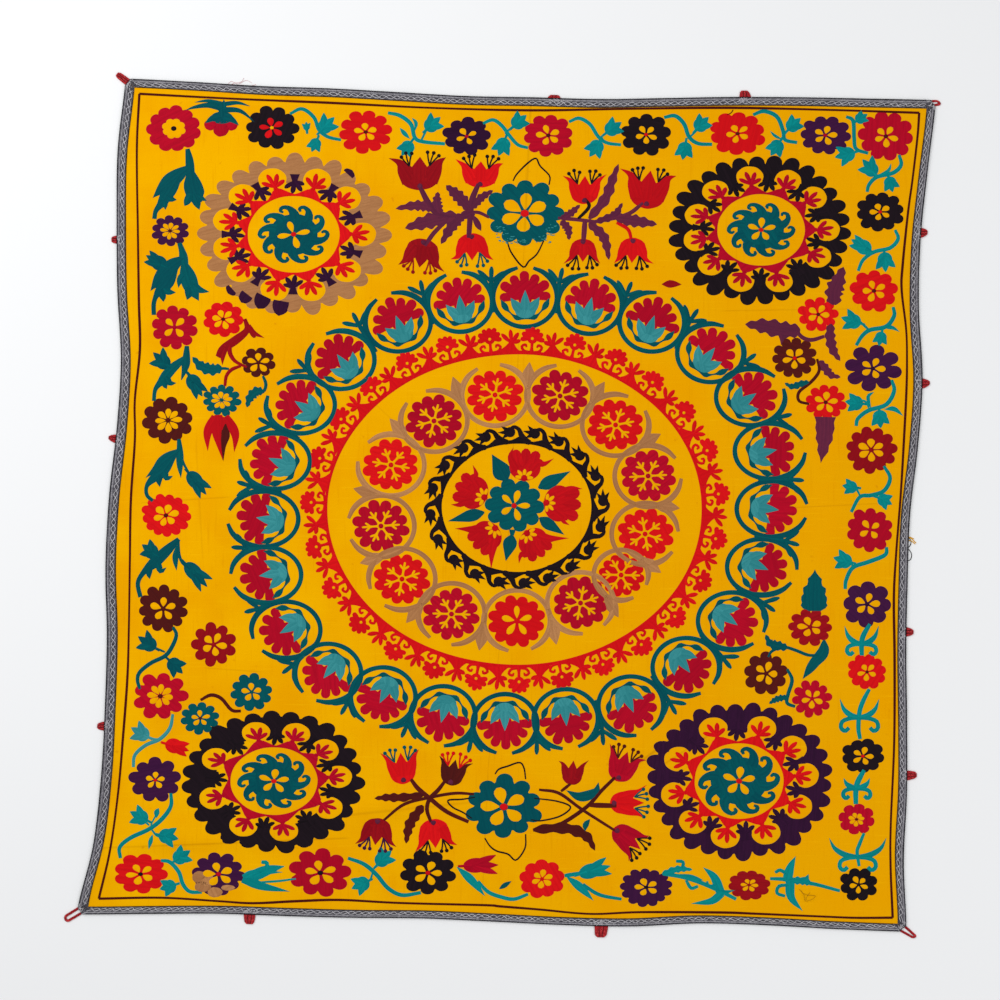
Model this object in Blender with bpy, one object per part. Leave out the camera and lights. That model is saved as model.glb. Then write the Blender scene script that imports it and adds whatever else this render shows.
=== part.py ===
"""A suzani, a large embroidered cotton cover, laid out face up on a level surface.

The ground cloth is one sheet. A braid is folded over each of its four edges and meets the
next braid in a mitre, and short tape loops for hanging are sewn on round the outside.
Units are metres, +X runs across the cloth, +Y to its top edge and +Z out of its face.
The origin is under the middle of the whole, on the surface that it lies on.
"""

import math

import bmesh
import bpy
from mathutils import Vector

# Cloth, braid and tape
CLOTH_THICKNESS = 0.0016
BRAID_PLY = 0.0009
TAPE_PLY = 0.0012
CORD_THICKNESS = 0.0026
SEAT_GAP = 0.0003
MITRE_GAP = 0.0003

# The braid's fold holds the cloth's edge between its two plies
BRAID_HEIGHT = CLOTH_THICKNESS + 2 * (BRAID_PLY + SEAT_GAP)
FOLD_RADIUS = (BRAID_HEIGHT - BRAID_PLY) / 2
CLOTH_TUCK = FOLD_RADIUS + BRAID_PLY / 2 + SEAT_GAP
CLOTH_LIFT = BRAID_PLY + SEAT_GAP

# How finely each piece is divided
CLOTH_CELLS = 44
BRAID_CELLS = 36
FOLD_STEPS = 4
TIP_STEPS = 6
TAB_ROWS = 4
LEG_STEPS = 4

# The four corners that the outer edges run between, going round clockwise from top left.
# Each is cut off by a short slanting end where a loop is sewn on: the two cuts are measured
# back along the side that arrives at the corner and along the side that leaves it.
CORNER_COLUMNS = ("x", "y", "cut_arriving", "cut_leaving")
CORNERS = (
    (-0.9416, 1.0663, 0.0170, 0.0120),
    (1.0829, 1.0123, 0.0110, 0.0150),
    (1.0094, -1.0652, 0.0140, 0.0170),
    (-1.0641, -1.0217, 0.0120, 0.0170),
)
SIDES = ("top", "right", "bottom", "left")

# The braid was folded over by hand, so that more of it shows on some sides than on others
BRAID_WIDTHS = {"top": 0.0215, "right": 0.0210, "bottom": 0.0190, "left": 0.0245}

# How far each edge bows out of (or, below zero, into) the straight line between its corners,
# at even steps along it, going round clockwise
EDGE_BOWS = {
    "top": (0.0, -0.004, -0.010, -0.011, -0.016, -0.021, -0.020,
            -0.020, -0.013, -0.006, -0.002, -0.001, 0.0),
    "right": (0.0, -0.014, -0.026, -0.024, -0.009, -0.014, -0.028,
              -0.028, -0.025, -0.017, -0.011, -0.013, 0.0),
    "bottom": (0.0, -0.003, -0.009, -0.010, 0.001, 0.001, -0.004,
               -0.008, -0.006, -0.007, -0.009, -0.005, 0.0),
    "left": (0.0, -0.031, -0.041, -0.040, -0.035, -0.021, -0.020,
             -0.029, -0.029, -0.010, 0.002, 0.009, 0.0),
}

# Main folds: soft ridges where the cloth stands off the surface. Each runs from its start
# over its middle to its end, and dies away over its half width on both sides.
FOLD_COLUMNS = ("start", "middle", "end", "half_width", "rise")
FOLDS = (
    ((-0.980, -0.845), (-0.800, -0.815), (-0.620, -0.845), 0.062, 0.0060),
    ((-0.420, -0.790), (-0.230, -0.725), (0.000, -0.785), 0.066, 0.0075),
    ((0.080, -0.745), (0.270, -0.660), (0.440, -0.520), 0.058, 0.0050),
    ((-0.740, 0.240), (-0.715, -0.060), (-0.740, -0.360), 0.062, 0.0050),
    ((0.800, 0.250), (0.835, 0.000), (0.790, -0.240), 0.062, 0.0045),
    ((-0.330, 0.820), (-0.250, 0.700), (-0.190, 0.560), 0.058, 0.0035),
    ((0.330, -0.420), (0.430, -0.330), (0.500, -0.220), 0.060, 0.0040),
)
FOLD_END_SHARE = 0.12
FLAT_MARGIN = max(BRAID_WIDTHS.values()) + 0.004
MARGIN_SLOPE = 0.045
FOLD_MARGIN = 0.045

# Hanging loops. One on a side stands at a share of that side, and one on a corner, with a
# share of zero, starts the side that leaves it. Most lie shut, as a flattened tab of tape.
# The open ones are a ring of cord with a way through. Lean turns a loop from square.
LOOP_COLUMNS = ("side", "share", "form", "base_width", "tip_width", "length", "lean_deg")
LOOPS = {
    "loop_top_left": ("top", 0.0, "tab", 0.0180, 0.0150, 0.0340, -2.0),
    "loop_top_1": ("top", 0.5290, "tab", 0.0320, 0.0200, 0.0080, 10.0),
    "loop_top_2": ("top", 0.7650, "tab", 0.0285, 0.0190, 0.0165, -8.0),
    "loop_top_right": ("right", 0.0, "ring", 0.0180, 0.0170, 0.0160, 26.0),
    "loop_right_1": ("right", 0.1600, "tab", 0.0245, 0.0110, 0.0165, -8.0),
    "loop_right_2": ("right", 0.341, "tab", 0.0250, 0.0090, 0.0190, -6.0),
    "loop_right_3": ("right", 0.640, "tab", 0.0230, 0.0110, 0.0180, 0.0),
    "loop_right_4": ("right", 0.8125, "tab", 0.0240, 0.0140, 0.0240, -4.0),
    "loop_bottom_right": ("bottom", 0.0, "ring", 0.0215, 0.0140, 0.0370, -16.0),
    "loop_bottom_1": ("bottom", 0.3675, "tab", 0.0335, 0.0270, 0.0285, 3.0),
    "loop_bottom_2": ("bottom", 0.7916, "tab", 0.0290, 0.0220, 0.0240, 0.0),
    "loop_bottom_left": ("left", 0.0, "ring", 0.0205, 0.0200, 0.0440, -3.0),
    "loop_left_1": ("left", 0.2263, "tab", 0.0220, 0.0120, 0.0170, -4.0),
    "loop_left_2": ("left", 0.5697, "tab", 0.0210, 0.0080, 0.0180, 4.0),
    "loop_left_3": ("left", 0.8074, "tab", 0.0200, 0.0120, 0.0130, 0.0),
}
CORD_WIDTH = 0.0050
TAB_TAPER = 1.5
TAB_ROUND_FROM = 0.72
TAB_TIP_NARROWING = 0.75

# How far along an edge its direction is read, at a corner and at a loop
CORNER_READ_SHARE = 0.03
LOOP_READ_LENGTH = 0.012


def clear_scene():
    for thing in list(bpy.data.objects):
        bpy.data.objects.remove(thing)


def fabric(name, colour, roughness):
    material = bpy.data.materials.new(name)
    material.use_nodes = True
    shader = material.node_tree.nodes["Principled BSDF"]
    shader.inputs["Base Color"].default_value = (*colour, 1.0)
    shader.inputs["Roughness"].default_value = roughness
    shader.inputs["Metallic"].default_value = 0.0
    return material


def smooth_step(low, high, value):
    share = min(1.0, max(0.0, (value - low) / (high - low)))
    return share * share * (3.0 - 2.0 * share)


def quarter_turned(direction):
    """The direction turned a quarter anticlockwise: outwards, for a side that runs clockwise."""
    return Vector((-direction.y, direction.x))


def corner(number):
    return Vector(CORNERS[number % 4][:2])


def bow(side, share):
    """The edge's bow at a share of its length, on a smooth curve through the table's values."""
    values = EDGE_BOWS[SIDES[side]]
    place = min(max(share, 0.0), 1.0) * (len(values) - 1)
    first = min(int(place), len(values) - 2)
    part = place - first
    before = values[max(first - 1, 0)]
    start, end = values[first], values[first + 1]
    after = values[min(first + 2, len(values) - 1)]
    slope_start, slope_end = (end - before) / 2, (after - start) / 2
    return (
        start * (2 * part**3 - 3 * part**2 + 1)
        + slope_start * (part**3 - 2 * part**2 + part)
        + end * (3 * part**2 - 2 * part**3)
        + slope_end * (part**3 - part**2)
    )


def bowed(side, start, end, share):
    outwards = quarter_turned((end - start).normalized())
    return start.lerp(end, share) + outwards * bow(side, share)


def braid_width(side):
    return BRAID_WIDTHS[SIDES[side % 4]]


def side_length(side):
    return (corner(side + 1) - corner(side)).length


def full_edge(side, share):
    """A point on the braid's outer edge, with the corners not yet cut off."""
    return bowed(side, corner(side), corner(side + 1), share)


def cut_point(number, leaving):
    """Where the slanting end at a corner starts, on the side that arrives or that leaves."""
    cut = CORNERS[number % 4][3 if leaving else 2]
    side = number % 4 if leaving else (number - 1) % 4
    share = cut / side_length(side)
    return full_edge(side, share if leaving else 1.0 - share)


def cut_middle(number):
    return (cut_point(number, False) + cut_point(number, True)) / 2


def inner_corner(number):
    """The corner that the braid's inner edges meet in."""
    middle = corner(number)
    before = full_edge((number - 1) % 4, 1.0 - CORNER_READ_SHARE)
    after = full_edge(number % 4, CORNER_READ_SHARE)
    arriving, leaving = (middle - before).normalized(), (after - middle).normalized()
    turn = abs(arriving.x * leaving.y - arriving.y * leaving.x)
    inwards = leaving * braid_width(number - 1) - arriving * braid_width(number)
    return middle + inwards / turn


def outer_edge(side, share):
    """A point on the braid's outer edge, with the slanting ends."""
    first, last = (CORNERS[side][3], CORNERS[(side + 1) % 4][2])
    along = share * side_length(side)
    left = side_length(side) - along
    if along < first:
        return cut_middle(side).lerp(cut_point(side, True), along / first)
    if left < last:
        return cut_middle(side + 1).lerp(cut_point(side + 1, False), left / last)
    return full_edge(side, share)


def inner_edge(side, share):
    return bowed(side, inner_corner(side), inner_corner(side + 1), share)


def across_braid(side, share, depth):
    """A point this deep inside the outer edge, measured over the braid's width."""
    return outer_edge(side, share).lerp(inner_edge(side, share), depth / braid_width(side))


def sheet(name, columns, rows, place, thickness, offset, material):
    """A flat grid laid where place(column, row) says and given its thickness as one solid."""
    mesh = bpy.data.meshes.new(name)
    grid = bmesh.new()
    bmesh.ops.create_grid(grid, x_segments=columns, y_segments=rows, size=0.5)
    for vertex in grid.verts:
        column = round((vertex.co.x + 0.5) * columns)
        row = round((vertex.co.y + 0.5) * rows)
        vertex.co = place(column, row)
    grid.to_mesh(mesh)
    grid.free()
    mesh.materials.append(material)
    piece = bpy.data.objects.new(name, mesh)
    bpy.context.scene.collection.objects.link(piece)
    solid = piece.modifiers.new("Thickness", "SOLIDIFY")
    solid.thickness = thickness
    solid.offset = offset
    solid.use_even_offset = True
    return piece


def ridge(x, y, start, middle, end, half_width, rise):
    """The height of one soft fold at a point: full on its line, nothing past its half width."""
    point = Vector((x, y))
    best = half_width
    taper = 0.0
    for first, last, shift in ((start, middle, 0.0), (middle, end, 1.0)):
        line = Vector(last) - Vector(first)
        along = (point - Vector(first)).dot(line) / line.length_squared
        along = min(1.0, max(0.0, along))
        away = (point - Vector(first) - line * along).length
        if away < best:
            best = away
            share = FOLD_END_SHARE + (1.0 - 2.0 * FOLD_END_SHARE) * (shift + along) / 2.0
            taper = math.sin(math.pi * share)
    return rise * taper * math.cos(math.pi * best / (2.0 * half_width)) ** 2


def fold_height(x, y):
    return max(ridge(x, y, *fold) for fold in FOLDS)


def cloth_stations():
    """Shares across the cloth: its edge, the braid's inner edge, the slope, then even steps."""
    span = side_length(0)
    near = [0.0, FLAT_MARGIN / span, (FLAT_MARGIN + MARGIN_SLOPE) / span]
    steps = CLOTH_CELLS - 2 * (len(near) - 1)
    middle = [near[-1] + (1.0 - 2.0 * near[-1]) * step / steps for step in range(steps + 1)]
    return near[:-1] + middle + [1.0 - share for share in reversed(near[:-1])]


def cloth_plan(across, up):
    """A point of the ground cloth, from shares across and up it, blended from its four edges."""
    top = across_braid(0, across, CLOTH_TUCK)
    right = across_braid(1, 1.0 - up, CLOTH_TUCK)
    bottom = across_braid(2, 1.0 - across, CLOTH_TUCK)
    left = across_braid(3, up, CLOTH_TUCK)
    low = across_braid(3, 0.0, CLOTH_TUCK).lerp(across_braid(2, 0.0, CLOTH_TUCK), across)
    high = across_braid(0, 0.0, CLOTH_TUCK).lerp(across_braid(1, 0.0, CLOTH_TUCK), across)
    return bottom.lerp(top, up) + left.lerp(right, across) - low.lerp(high, up)


def ground_cloth(material):
    """The field: raised over the braid's lower ply at its edges, flat inside, with its folds."""
    stations = cloth_stations()
    span = side_length(0)

    def place(column, row):
        across, up = stations[column], stations[row]
        point = cloth_plan(across, up)
        inside = span * min(across, 1.0 - across, up, 1.0 - up)
        margin = 1.0 - smooth_step(FLAT_MARGIN, FLAT_MARGIN + MARGIN_SLOPE, inside)
        folds = smooth_step(FLAT_MARGIN, FLAT_MARGIN + FOLD_MARGIN + MARGIN_SLOPE, inside)
        height = CLOTH_LIFT * margin + fold_height(point.x, point.y) * folds
        return (point.x, point.y, height)

    return sheet("ground_cloth", CLOTH_CELLS, CLOTH_CELLS, place, CLOTH_THICKNESS, 1.0, material)


def fold_section(depth):
    """The braid's middle line across its width: (inset, height) from the lower ply's end,
    out to the fold, round it and back to the upper ply's end."""
    half = BRAID_PLY / 2
    section = [(depth, half)]
    for step in range(FOLD_STEPS + 1):
        turn = math.pi * step / FOLD_STEPS
        inset = half + FOLD_RADIUS * (1.0 - math.sin(turn))
        section.append((inset, half + FOLD_RADIUS * (1.0 - math.cos(turn))))
    section.append((depth, BRAID_HEIGHT - half))
    return section


def braid(side, material):
    """One side's braid, folded over the cloth's edge and mitred at both ends."""
    span = side_length(side)
    first, last = CORNERS[side][3] / span, CORNERS[(side + 1) % 4][2] / span
    steps = BRAID_CELLS - 2
    shares = [first + (1.0 - first - last) * step / steps for step in range(steps + 1)]
    shares = [0.0] + shares + [1.0]
    section = fold_section(braid_width(side))
    run = (corner(side + 1) - corner(side)).normalized()

    def place(column, row):
        inset, height = section[row]
        point = across_braid(side, shares[column], inset)
        if column == 0:
            point += run * MITRE_GAP
        if column == BRAID_CELLS:
            point -= run * MITRE_GAP
        return (point.x, point.y, height)

    name = "braid_" + SIDES[side]
    return sheet(name, BRAID_CELLS, len(section) - 1, place, BRAID_PLY, 0.0, material)


def loop_seat(side, share):
    """Where a loop is sewn on: its middle, the way along the edge there and the way out."""
    if share == 0.0:
        start, end = cut_point(side, False), cut_point(side, True)
        along = (end - start).normalized()
        return (start + end) / 2, along, quarter_turned(along)
    reach = LOOP_READ_LENGTH / side_length(side)
    start, end = outer_edge(side, share - reach), outer_edge(side, share + reach)
    along = (end - start).normalized()
    return (start + end) / 2, along, quarter_turned(along)


def loop_point(seat, lean, out, along, height):
    """A loop's own (out, along) as a point of the whole, leaning from square as it goes out."""
    middle, edge_way, out_way = seat
    shear = math.tan(math.radians(lean))
    plan = middle + out_way * (out + SEAT_GAP) + edge_way * (along + out * shear)
    return (plan.x, plan.y, height)


def tab_width(base_width, tip_width, share):
    """The width of a shut loop at a share of its length: it tapers, with rounded tip corners."""
    straight = base_width + (tip_width - base_width) * share**TAB_TAPER
    past = max(0.0, (share - TAB_ROUND_FROM) / (1.0 - TAB_ROUND_FROM))
    return straight * math.sqrt(1.0 - TAB_TIP_NARROWING * past**2)


def tab(name, seat, base_width, tip_width, length, lean, material):
    """A shut loop: tape that runs out, turns over at the tip and runs back on itself."""
    half = TAPE_PLY / 2
    radius = (TAPE_PLY + SEAT_GAP) / 2
    reach = length - radius - half
    leg = [reach * step / LEG_STEPS for step in range(LEG_STEPS)]
    section = [(out, half) for out in leg]
    for step in range(FOLD_STEPS + 1):
        turn = math.pi * step / FOLD_STEPS
        section.append((reach + radius * math.sin(turn), half + radius * (1.0 - math.cos(turn))))
    section += [(out, half + 2 * radius) for out in reversed(leg)]

    def place(column, row):
        out, height = section[column]
        width = tab_width(base_width, tip_width, out / length)
        return loop_point(seat, lean, out, width * (row / TAB_ROWS - 0.5), height)

    return sheet(name, len(section) - 1, TAB_ROWS, place, TAPE_PLY, 0.0, material)


def ring(name, seat, base_width, tip_width, length, lean, material):
    """An open loop: a flat cord that runs out, round the tip and back, with a way through."""
    base, tip = (base_width - CORD_WIDTH) / 2, (tip_width - CORD_WIDTH) / 2
    reach = length - tip - CORD_WIDTH / 2
    shares = [step / LEG_STEPS for step in range(LEG_STEPS)]
    path = [(reach * share, -base + (base - tip) * share) for share in shares]
    for step in range(TIP_STEPS + 1):
        turn = math.pi * step / TIP_STEPS
        path.append((reach + tip * math.sin(turn), -tip * math.cos(turn)))
    path += [(out, -along) for out, along in reversed(path[:LEG_STEPS])]
    last = len(path) - 1

    def place(column, row):
        before, after = Vector(path[max(column - 1, 0)]), Vector(path[min(column + 1, last)])
        way = (after - before).normalized()
        if column in (0, last):
            way = Vector((1.0 if column == 0 else -1.0, 0.0))
        point = Vector(path[column]) + quarter_turned(way) * CORD_WIDTH * (0.5 - row)
        return loop_point(seat, lean, point.x, point.y, CORD_THICKNESS / 2)

    return sheet(name, last, 1, place, CORD_THICKNESS, 0.0, material)


def hanging_loop(name, material):
    side_name, share, form, base_width, tip_width, length, lean = LOOPS[name]
    seat = loop_seat(SIDES.index(side_name), share)
    make = {"tab": tab, "ring": ring}[form]
    return make(name, seat, base_width, tip_width, length, lean, material)


def main():
    clear_scene()
    ground_cloth(fabric("yellow_cotton", (0.82, 0.43, 0.012), 0.85))
    braid_cloth = fabric("dark_braid", (0.06, 0.058, 0.065), 0.8)
    for side in range(len(SIDES)):
        braid(side, braid_cloth)
    loop_tape = fabric("red_tape", (0.45, 0.02, 0.03), 0.75)
    for name in LOOPS:
        hanging_loop(name, loop_tape)


main()
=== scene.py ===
import math
import random

import bmesh
import bpy
import numpy as np
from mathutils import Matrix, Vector, noise
from mathutils.bvhtree import BVHTree


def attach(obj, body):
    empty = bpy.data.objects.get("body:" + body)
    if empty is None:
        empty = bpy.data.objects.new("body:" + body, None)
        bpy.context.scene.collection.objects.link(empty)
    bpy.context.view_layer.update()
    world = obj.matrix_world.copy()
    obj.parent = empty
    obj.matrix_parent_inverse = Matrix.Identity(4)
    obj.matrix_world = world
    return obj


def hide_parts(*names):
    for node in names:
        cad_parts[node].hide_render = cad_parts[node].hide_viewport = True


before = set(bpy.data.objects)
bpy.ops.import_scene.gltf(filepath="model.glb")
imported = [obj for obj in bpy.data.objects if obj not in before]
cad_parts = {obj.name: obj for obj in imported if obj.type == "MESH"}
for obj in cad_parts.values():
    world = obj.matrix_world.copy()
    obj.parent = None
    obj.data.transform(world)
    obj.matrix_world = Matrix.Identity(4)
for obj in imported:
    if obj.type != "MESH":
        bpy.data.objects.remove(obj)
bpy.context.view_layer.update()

# The view: the cover lies flat with its face up, and the camera looks straight down on it.
# The photograph's frame covers 2.5 m of the floor, and one of its pixels covers 2.5 mm.
PIXEL = 0.0025
FRAME_PIXELS = 1000
ORIGIN_PHOTO_X = 502.44
ORIGIN_PHOTO_Y = 505.32
LENS_MM = 85.0
SENSOR_MM = 36.0


def at(photo_x, photo_y):
    """The place on the floor, in metres, under a pixel of the photograph."""
    return Vector(((photo_x - ORIGIN_PHOTO_X) * PIXEL, (ORIGIN_PHOTO_Y - photo_y) * PIXEL))


camera_data = bpy.data.cameras.new("camera")
camera_data.lens = LENS_MM
camera_data.sensor_width = SENSOR_MM
camera_data.clip_end = 100.0
camera = bpy.data.objects.new("camera", camera_data)
bpy.context.scene.collection.objects.link(camera)
view_centre = at(FRAME_PIXELS / 2, FRAME_PIXELS / 2)
camera.location = (view_centre.x, view_centre.y, FRAME_PIXELS * PIXEL * LENS_MM / SENSOR_MM)
bpy.context.scene.camera = camera


# The studio: a plain pale floor and a wide soft light a little to the left and above, so that
# folds and stitching show a faint shaded side. Neither is part of the cover.
def srgb(red, green, blue):
    """A colour given as 0 to 255 for each channel, as the linear value that shaders take."""
    shares = (red / 255, green / 255, blue / 255)
    return tuple(c / 12.92 if c <= 0.04045 else ((c + 0.055) / 1.055) ** 2.4 for c in shares) + (1.0,)


def principled(name, colour, roughness):
    material = bpy.data.materials.new(name)
    material.use_nodes = True
    shader = material.node_tree.nodes["Principled BSDF"]
    shader.inputs["Base Color"].default_value = colour
    shader.inputs["Roughness"].default_value = roughness
    shader.inputs["Specular IOR Level"].default_value = 0.04
    return material, material.node_tree, shader


floor_mesh = bpy.data.meshes.new("floor")
floor_shape = bmesh.new()
bmesh.ops.create_grid(floor_shape, x_segments=1, y_segments=1, size=30.0)
bmesh.ops.translate(floor_shape, verts=floor_shape.verts, vec=(0.0, 0.0, -0.0004))
floor_shape.to_mesh(floor_mesh)
floor_shape.free()
floor = bpy.data.objects.new("floor", floor_mesh)
bpy.context.scene.collection.objects.link(floor)
floor_material, _, _ = principled("floor_paper", srgb(240, 241, 242), 0.9)
floor_mesh.materials.append(floor_material)

bpy.context.scene.view_settings.view_transform = "Standard"
world = bpy.data.worlds.new("soft_room")
world.use_nodes = True
world.node_tree.nodes["Background"].inputs["Color"].default_value = srgb(243, 243, 244)
world.node_tree.nodes["Background"].inputs["Strength"].default_value = 0.668
bpy.context.scene.world = world

LIGHTS = (
    # name, place, size, watts
    ("key_light", (-2.9, 2.2, 3.4), 2.6, 101.0),
    ("fill_light", (3.6, -1.6, 4.6), 4.0, 85.0),
)
for name, place, size, watts in LIGHTS:
    light_data = bpy.data.lights.new(name, "AREA")
    light_data.size = size
    light_data.energy = watts
    light = bpy.data.objects.new(name, light_data)
    light.location = place
    light.rotation_euler = (Vector((0.0, 0.0, 0.0)) - Vector(place)).to_track_quat("-Z", "Y").to_euler()
    bpy.context.scene.collection.objects.link(light)


# The ground: one sheet of plain-weave cotton dyed deep yellow, which carries all the needlework.
# It lies flat, with the soft folds and the creases that storage has left in it.
CLOTH_THICKNESS = 0.0016
BRAID_PLY = 0.0009
SEAT_GAP = 0.0003
CORNERS = (
    # x, y, cut back along the side that arrives there, and along the one that leaves it
    (-0.9416, 1.0663, 0.0170, 0.0120),
    (1.0829, 1.0123, 0.0110, 0.0150),
    (1.0094, -1.0652, 0.0140, 0.0170),
    (-1.0641, -1.0217, 0.0120, 0.0170),
)
SIDES = ("top", "right", "bottom", "left")
BRAID_WIDTHS = {"top": 0.0215, "right": 0.0210, "bottom": 0.0190, "left": 0.0245}
EDGE_BOWS = {
    # how far each edge bows out of the straight line, at even steps, going round clockwise
    "top": (0.0, -0.004, -0.010, -0.011, -0.016, -0.021, -0.020,
            -0.020, -0.013, -0.006, -0.002, -0.001, 0.0),
    "right": (0.0, -0.014, -0.026, -0.024, -0.009, -0.014, -0.028,
              -0.028, -0.025, -0.017, -0.011, -0.013, 0.0),
    "bottom": (0.0, -0.003, -0.009, -0.010, 0.001, 0.001, -0.004,
               -0.008, -0.006, -0.007, -0.009, -0.005, 0.0),
    "left": (0.0, -0.031, -0.041, -0.040, -0.035, -0.021, -0.020,
             -0.029, -0.029, -0.010, 0.002, 0.009, 0.0),
}
FOLDS = (
    # start, middle, end, half width, rise: the soft ridges that the solid has too
    ((-0.980, -0.845), (-0.800, -0.815), (-0.620, -0.845), 0.062, 0.0060),
    ((-0.420, -0.790), (-0.230, -0.725), (0.000, -0.785), 0.066, 0.0075),
    ((0.080, -0.745), (0.270, -0.660), (0.440, -0.520), 0.058, 0.0050),
    ((-0.740, 0.240), (-0.715, -0.060), (-0.740, -0.360), 0.062, 0.0050),
    ((0.800, 0.250), (0.835, 0.000), (0.790, -0.240), 0.062, 0.0045),
    ((-0.330, 0.820), (-0.250, 0.700), (-0.190, 0.560), 0.058, 0.0035),
    ((0.330, -0.420), (0.430, -0.330), (0.500, -0.220), 0.060, 0.0040),
)
FINE_FOLDS = (
    # the same for the narrow puckers that only show in the sheet itself
    ((0.330, -0.520), (0.400, -0.590), (0.500, -0.690), 0.026, 0.0022),
    ((0.380, -0.560), (0.440, -0.620), (0.490, -0.640), 0.020, 0.0018),
    ((-0.430, 0.330), (-0.360, 0.250), (-0.290, 0.200), 0.020, 0.0016),
    ((-0.360, 0.340), (-0.300, 0.280), (-0.240, 0.250), 0.018, 0.0014),
    ((-0.060, 0.480), (-0.075, 0.430), (-0.080, 0.380), 0.016, 0.0012),
    ((0.080, 0.490), (0.070, 0.430), (0.080, 0.370), 0.016, 0.0012),
    ((-1.000, -0.850), (-0.700, -0.838), (-0.400, -0.862), 0.024, 0.0026),
    ((-0.390, -0.765), (-0.290, -0.745), (-0.190, -0.790), 0.026, 0.0024),
    ((-0.800, 0.600), (-0.790, 0.450), (-0.800, 0.300), 0.024, 0.0016),
    ((-0.790, 0.050), (-0.770, -0.050), (-0.780, -0.150), 0.022, 0.0016),
    ((0.860, 0.560), (0.880, 0.420), (0.860, 0.260), 0.024, 0.0014),
    ((0.560, 0.700), (0.600, 0.740), (0.660, 0.750), 0.022, 0.0012),
    ((-0.540, -0.400), (-0.500, -0.480), (-0.430, -0.560), 0.024, 0.0016),
    ((0.620, -0.840), (0.700, -0.870), (0.780, -0.860), 0.024, 0.0014),
    ((-0.120, 0.940), (-0.100, 0.860), (-0.120, 0.780), 0.022, 0.0014),
)
FOLD_END_SHARE = 0.12
FLAT_MARGIN = max(BRAID_WIDTHS.values()) + 0.004
MARGIN_SLOPE = 0.045
FOLD_MARGIN = 0.045
SHEET_CELLS = 196
UNEVEN_RISE = 0.0011
UNEVEN_SIZE = 0.115


def quarter_turned(direction):
    return Vector((-direction.y, direction.x))


def corner(number):
    return Vector(CORNERS[number % 4][:2])


def braid_width(side):
    return BRAID_WIDTHS[SIDES[side % 4]]


def side_length(side):
    return (corner(side + 1) - corner(side)).length


def bow(side, share):
    """The edge's bow at a share of its length, on a smooth curve through the table's values."""
    values = EDGE_BOWS[SIDES[side]]
    place = min(max(share, 0.0), 1.0) * (len(values) - 1)
    first = min(int(place), len(values) - 2)
    part = place - first
    before = values[max(first - 1, 0)]
    start, end = values[first], values[first + 1]
    after = values[min(first + 2, len(values) - 1)]
    slope_start, slope_end = (end - before) / 2, (after - start) / 2
    return (
        start * (2 * part**3 - 3 * part**2 + 1)
        + slope_start * (part**3 - 2 * part**2 + part)
        + end * (3 * part**2 - 2 * part**3)
        + slope_end * (part**3 - part**2)
    )


def bowed(side, start, end, share):
    outwards = quarter_turned((end - start).normalized())
    return start.lerp(end, share) + outwards * bow(side, share)


def full_edge(side, share):
    return bowed(side, corner(side), corner(side + 1), share)


def cut_point(number, leaving):
    """Where the slanting end at a corner starts, on the side that arrives or that leaves."""
    cut = CORNERS[number % 4][3 if leaving else 2]
    side = number % 4 if leaving else (number - 1) % 4
    share = cut / side_length(side)
    return full_edge(side, share if leaving else 1.0 - share)


def cut_middle(number):
    return (cut_point(number, False) + cut_point(number, True)) / 2


def inner_corner(number):
    """The corner that the braid's inner edges meet in."""
    middle = corner(number)
    arriving = (middle - full_edge((number - 1) % 4, 0.97)).normalized()
    leaving = (full_edge(number % 4, 0.03) - middle).normalized()
    turn = abs(arriving.x * leaving.y - arriving.y * leaving.x)
    inwards = leaving * braid_width(number - 1) - arriving * braid_width(number)
    return middle + inwards / turn


def outer_edge(side, share):
    first, last = (CORNERS[side][3], CORNERS[(side + 1) % 4][2])
    along = share * side_length(side)
    left = side_length(side) - along
    if along < first:
        return cut_middle(side).lerp(cut_point(side, True), along / first)
    if left < last:
        return cut_middle(side + 1).lerp(cut_point(side + 1, False), left / last)
    return full_edge(side, share)


def inner_edge(side, share):
    return bowed(side, inner_corner(side), inner_corner(side + 1), share)


def across_braid(side, share, depth):
    """A point this deep inside the outer edge, measured over the braid's width."""
    return outer_edge(side, share).lerp(inner_edge(side, share), depth / braid_width(side))


BRAID_HEIGHT = CLOTH_THICKNESS + 2 * (BRAID_PLY + SEAT_GAP)
CLOTH_TUCK = BRAID_HEIGHT / 2 + SEAT_GAP
EDGE_POINTS = {
    side: [across_braid(side, step / SHEET_CELLS, CLOTH_TUCK) for step in range(SHEET_CELLS + 1)]
    for side in range(4)
}


def cloth_plan(column, row):
    """A point of the ground cloth, blended from its four edges."""
    across, up = column / SHEET_CELLS, row / SHEET_CELLS
    top, right, bottom, left = (EDGE_POINTS[side] for side in range(4))
    low = left[0].lerp(bottom[0], across)
    high = top[0].lerp(right[0], across)
    between_rows = bottom[SHEET_CELLS - column].lerp(top[column], up)
    between_columns = left[row].lerp(right[SHEET_CELLS - row], across)
    return between_rows + between_columns - low.lerp(high, up)


def ridges(points, folds):
    """The height of the highest soft fold at each of the points, in one array."""
    heights = np.zeros(len(points))
    for start, middle, end, half_width, rise in folds:
        for first, last, shift in ((start, middle, 0.0), (middle, end, 1.0)):
            line = np.subtract(last, first)
            along = np.clip((points - first) @ line / (line @ line), 0.0, 1.0)
            away = np.linalg.norm(points - first - along[:, None] * line, axis=1)
            share = FOLD_END_SHARE + (1.0 - 2.0 * FOLD_END_SHARE) * (shift + along) / 2.0
            lift = np.cos(np.pi * np.minimum(away, half_width) / (2.0 * half_width)) ** 2
            heights = np.maximum(heights, rise * np.sin(np.pi * share) * lift)
    return heights


def smooth_steps(low, high, values):
    shares = np.clip((values - low) / (high - low), 0.0, 1.0)
    return shares * shares * (3.0 - 2.0 * shares)


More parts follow.
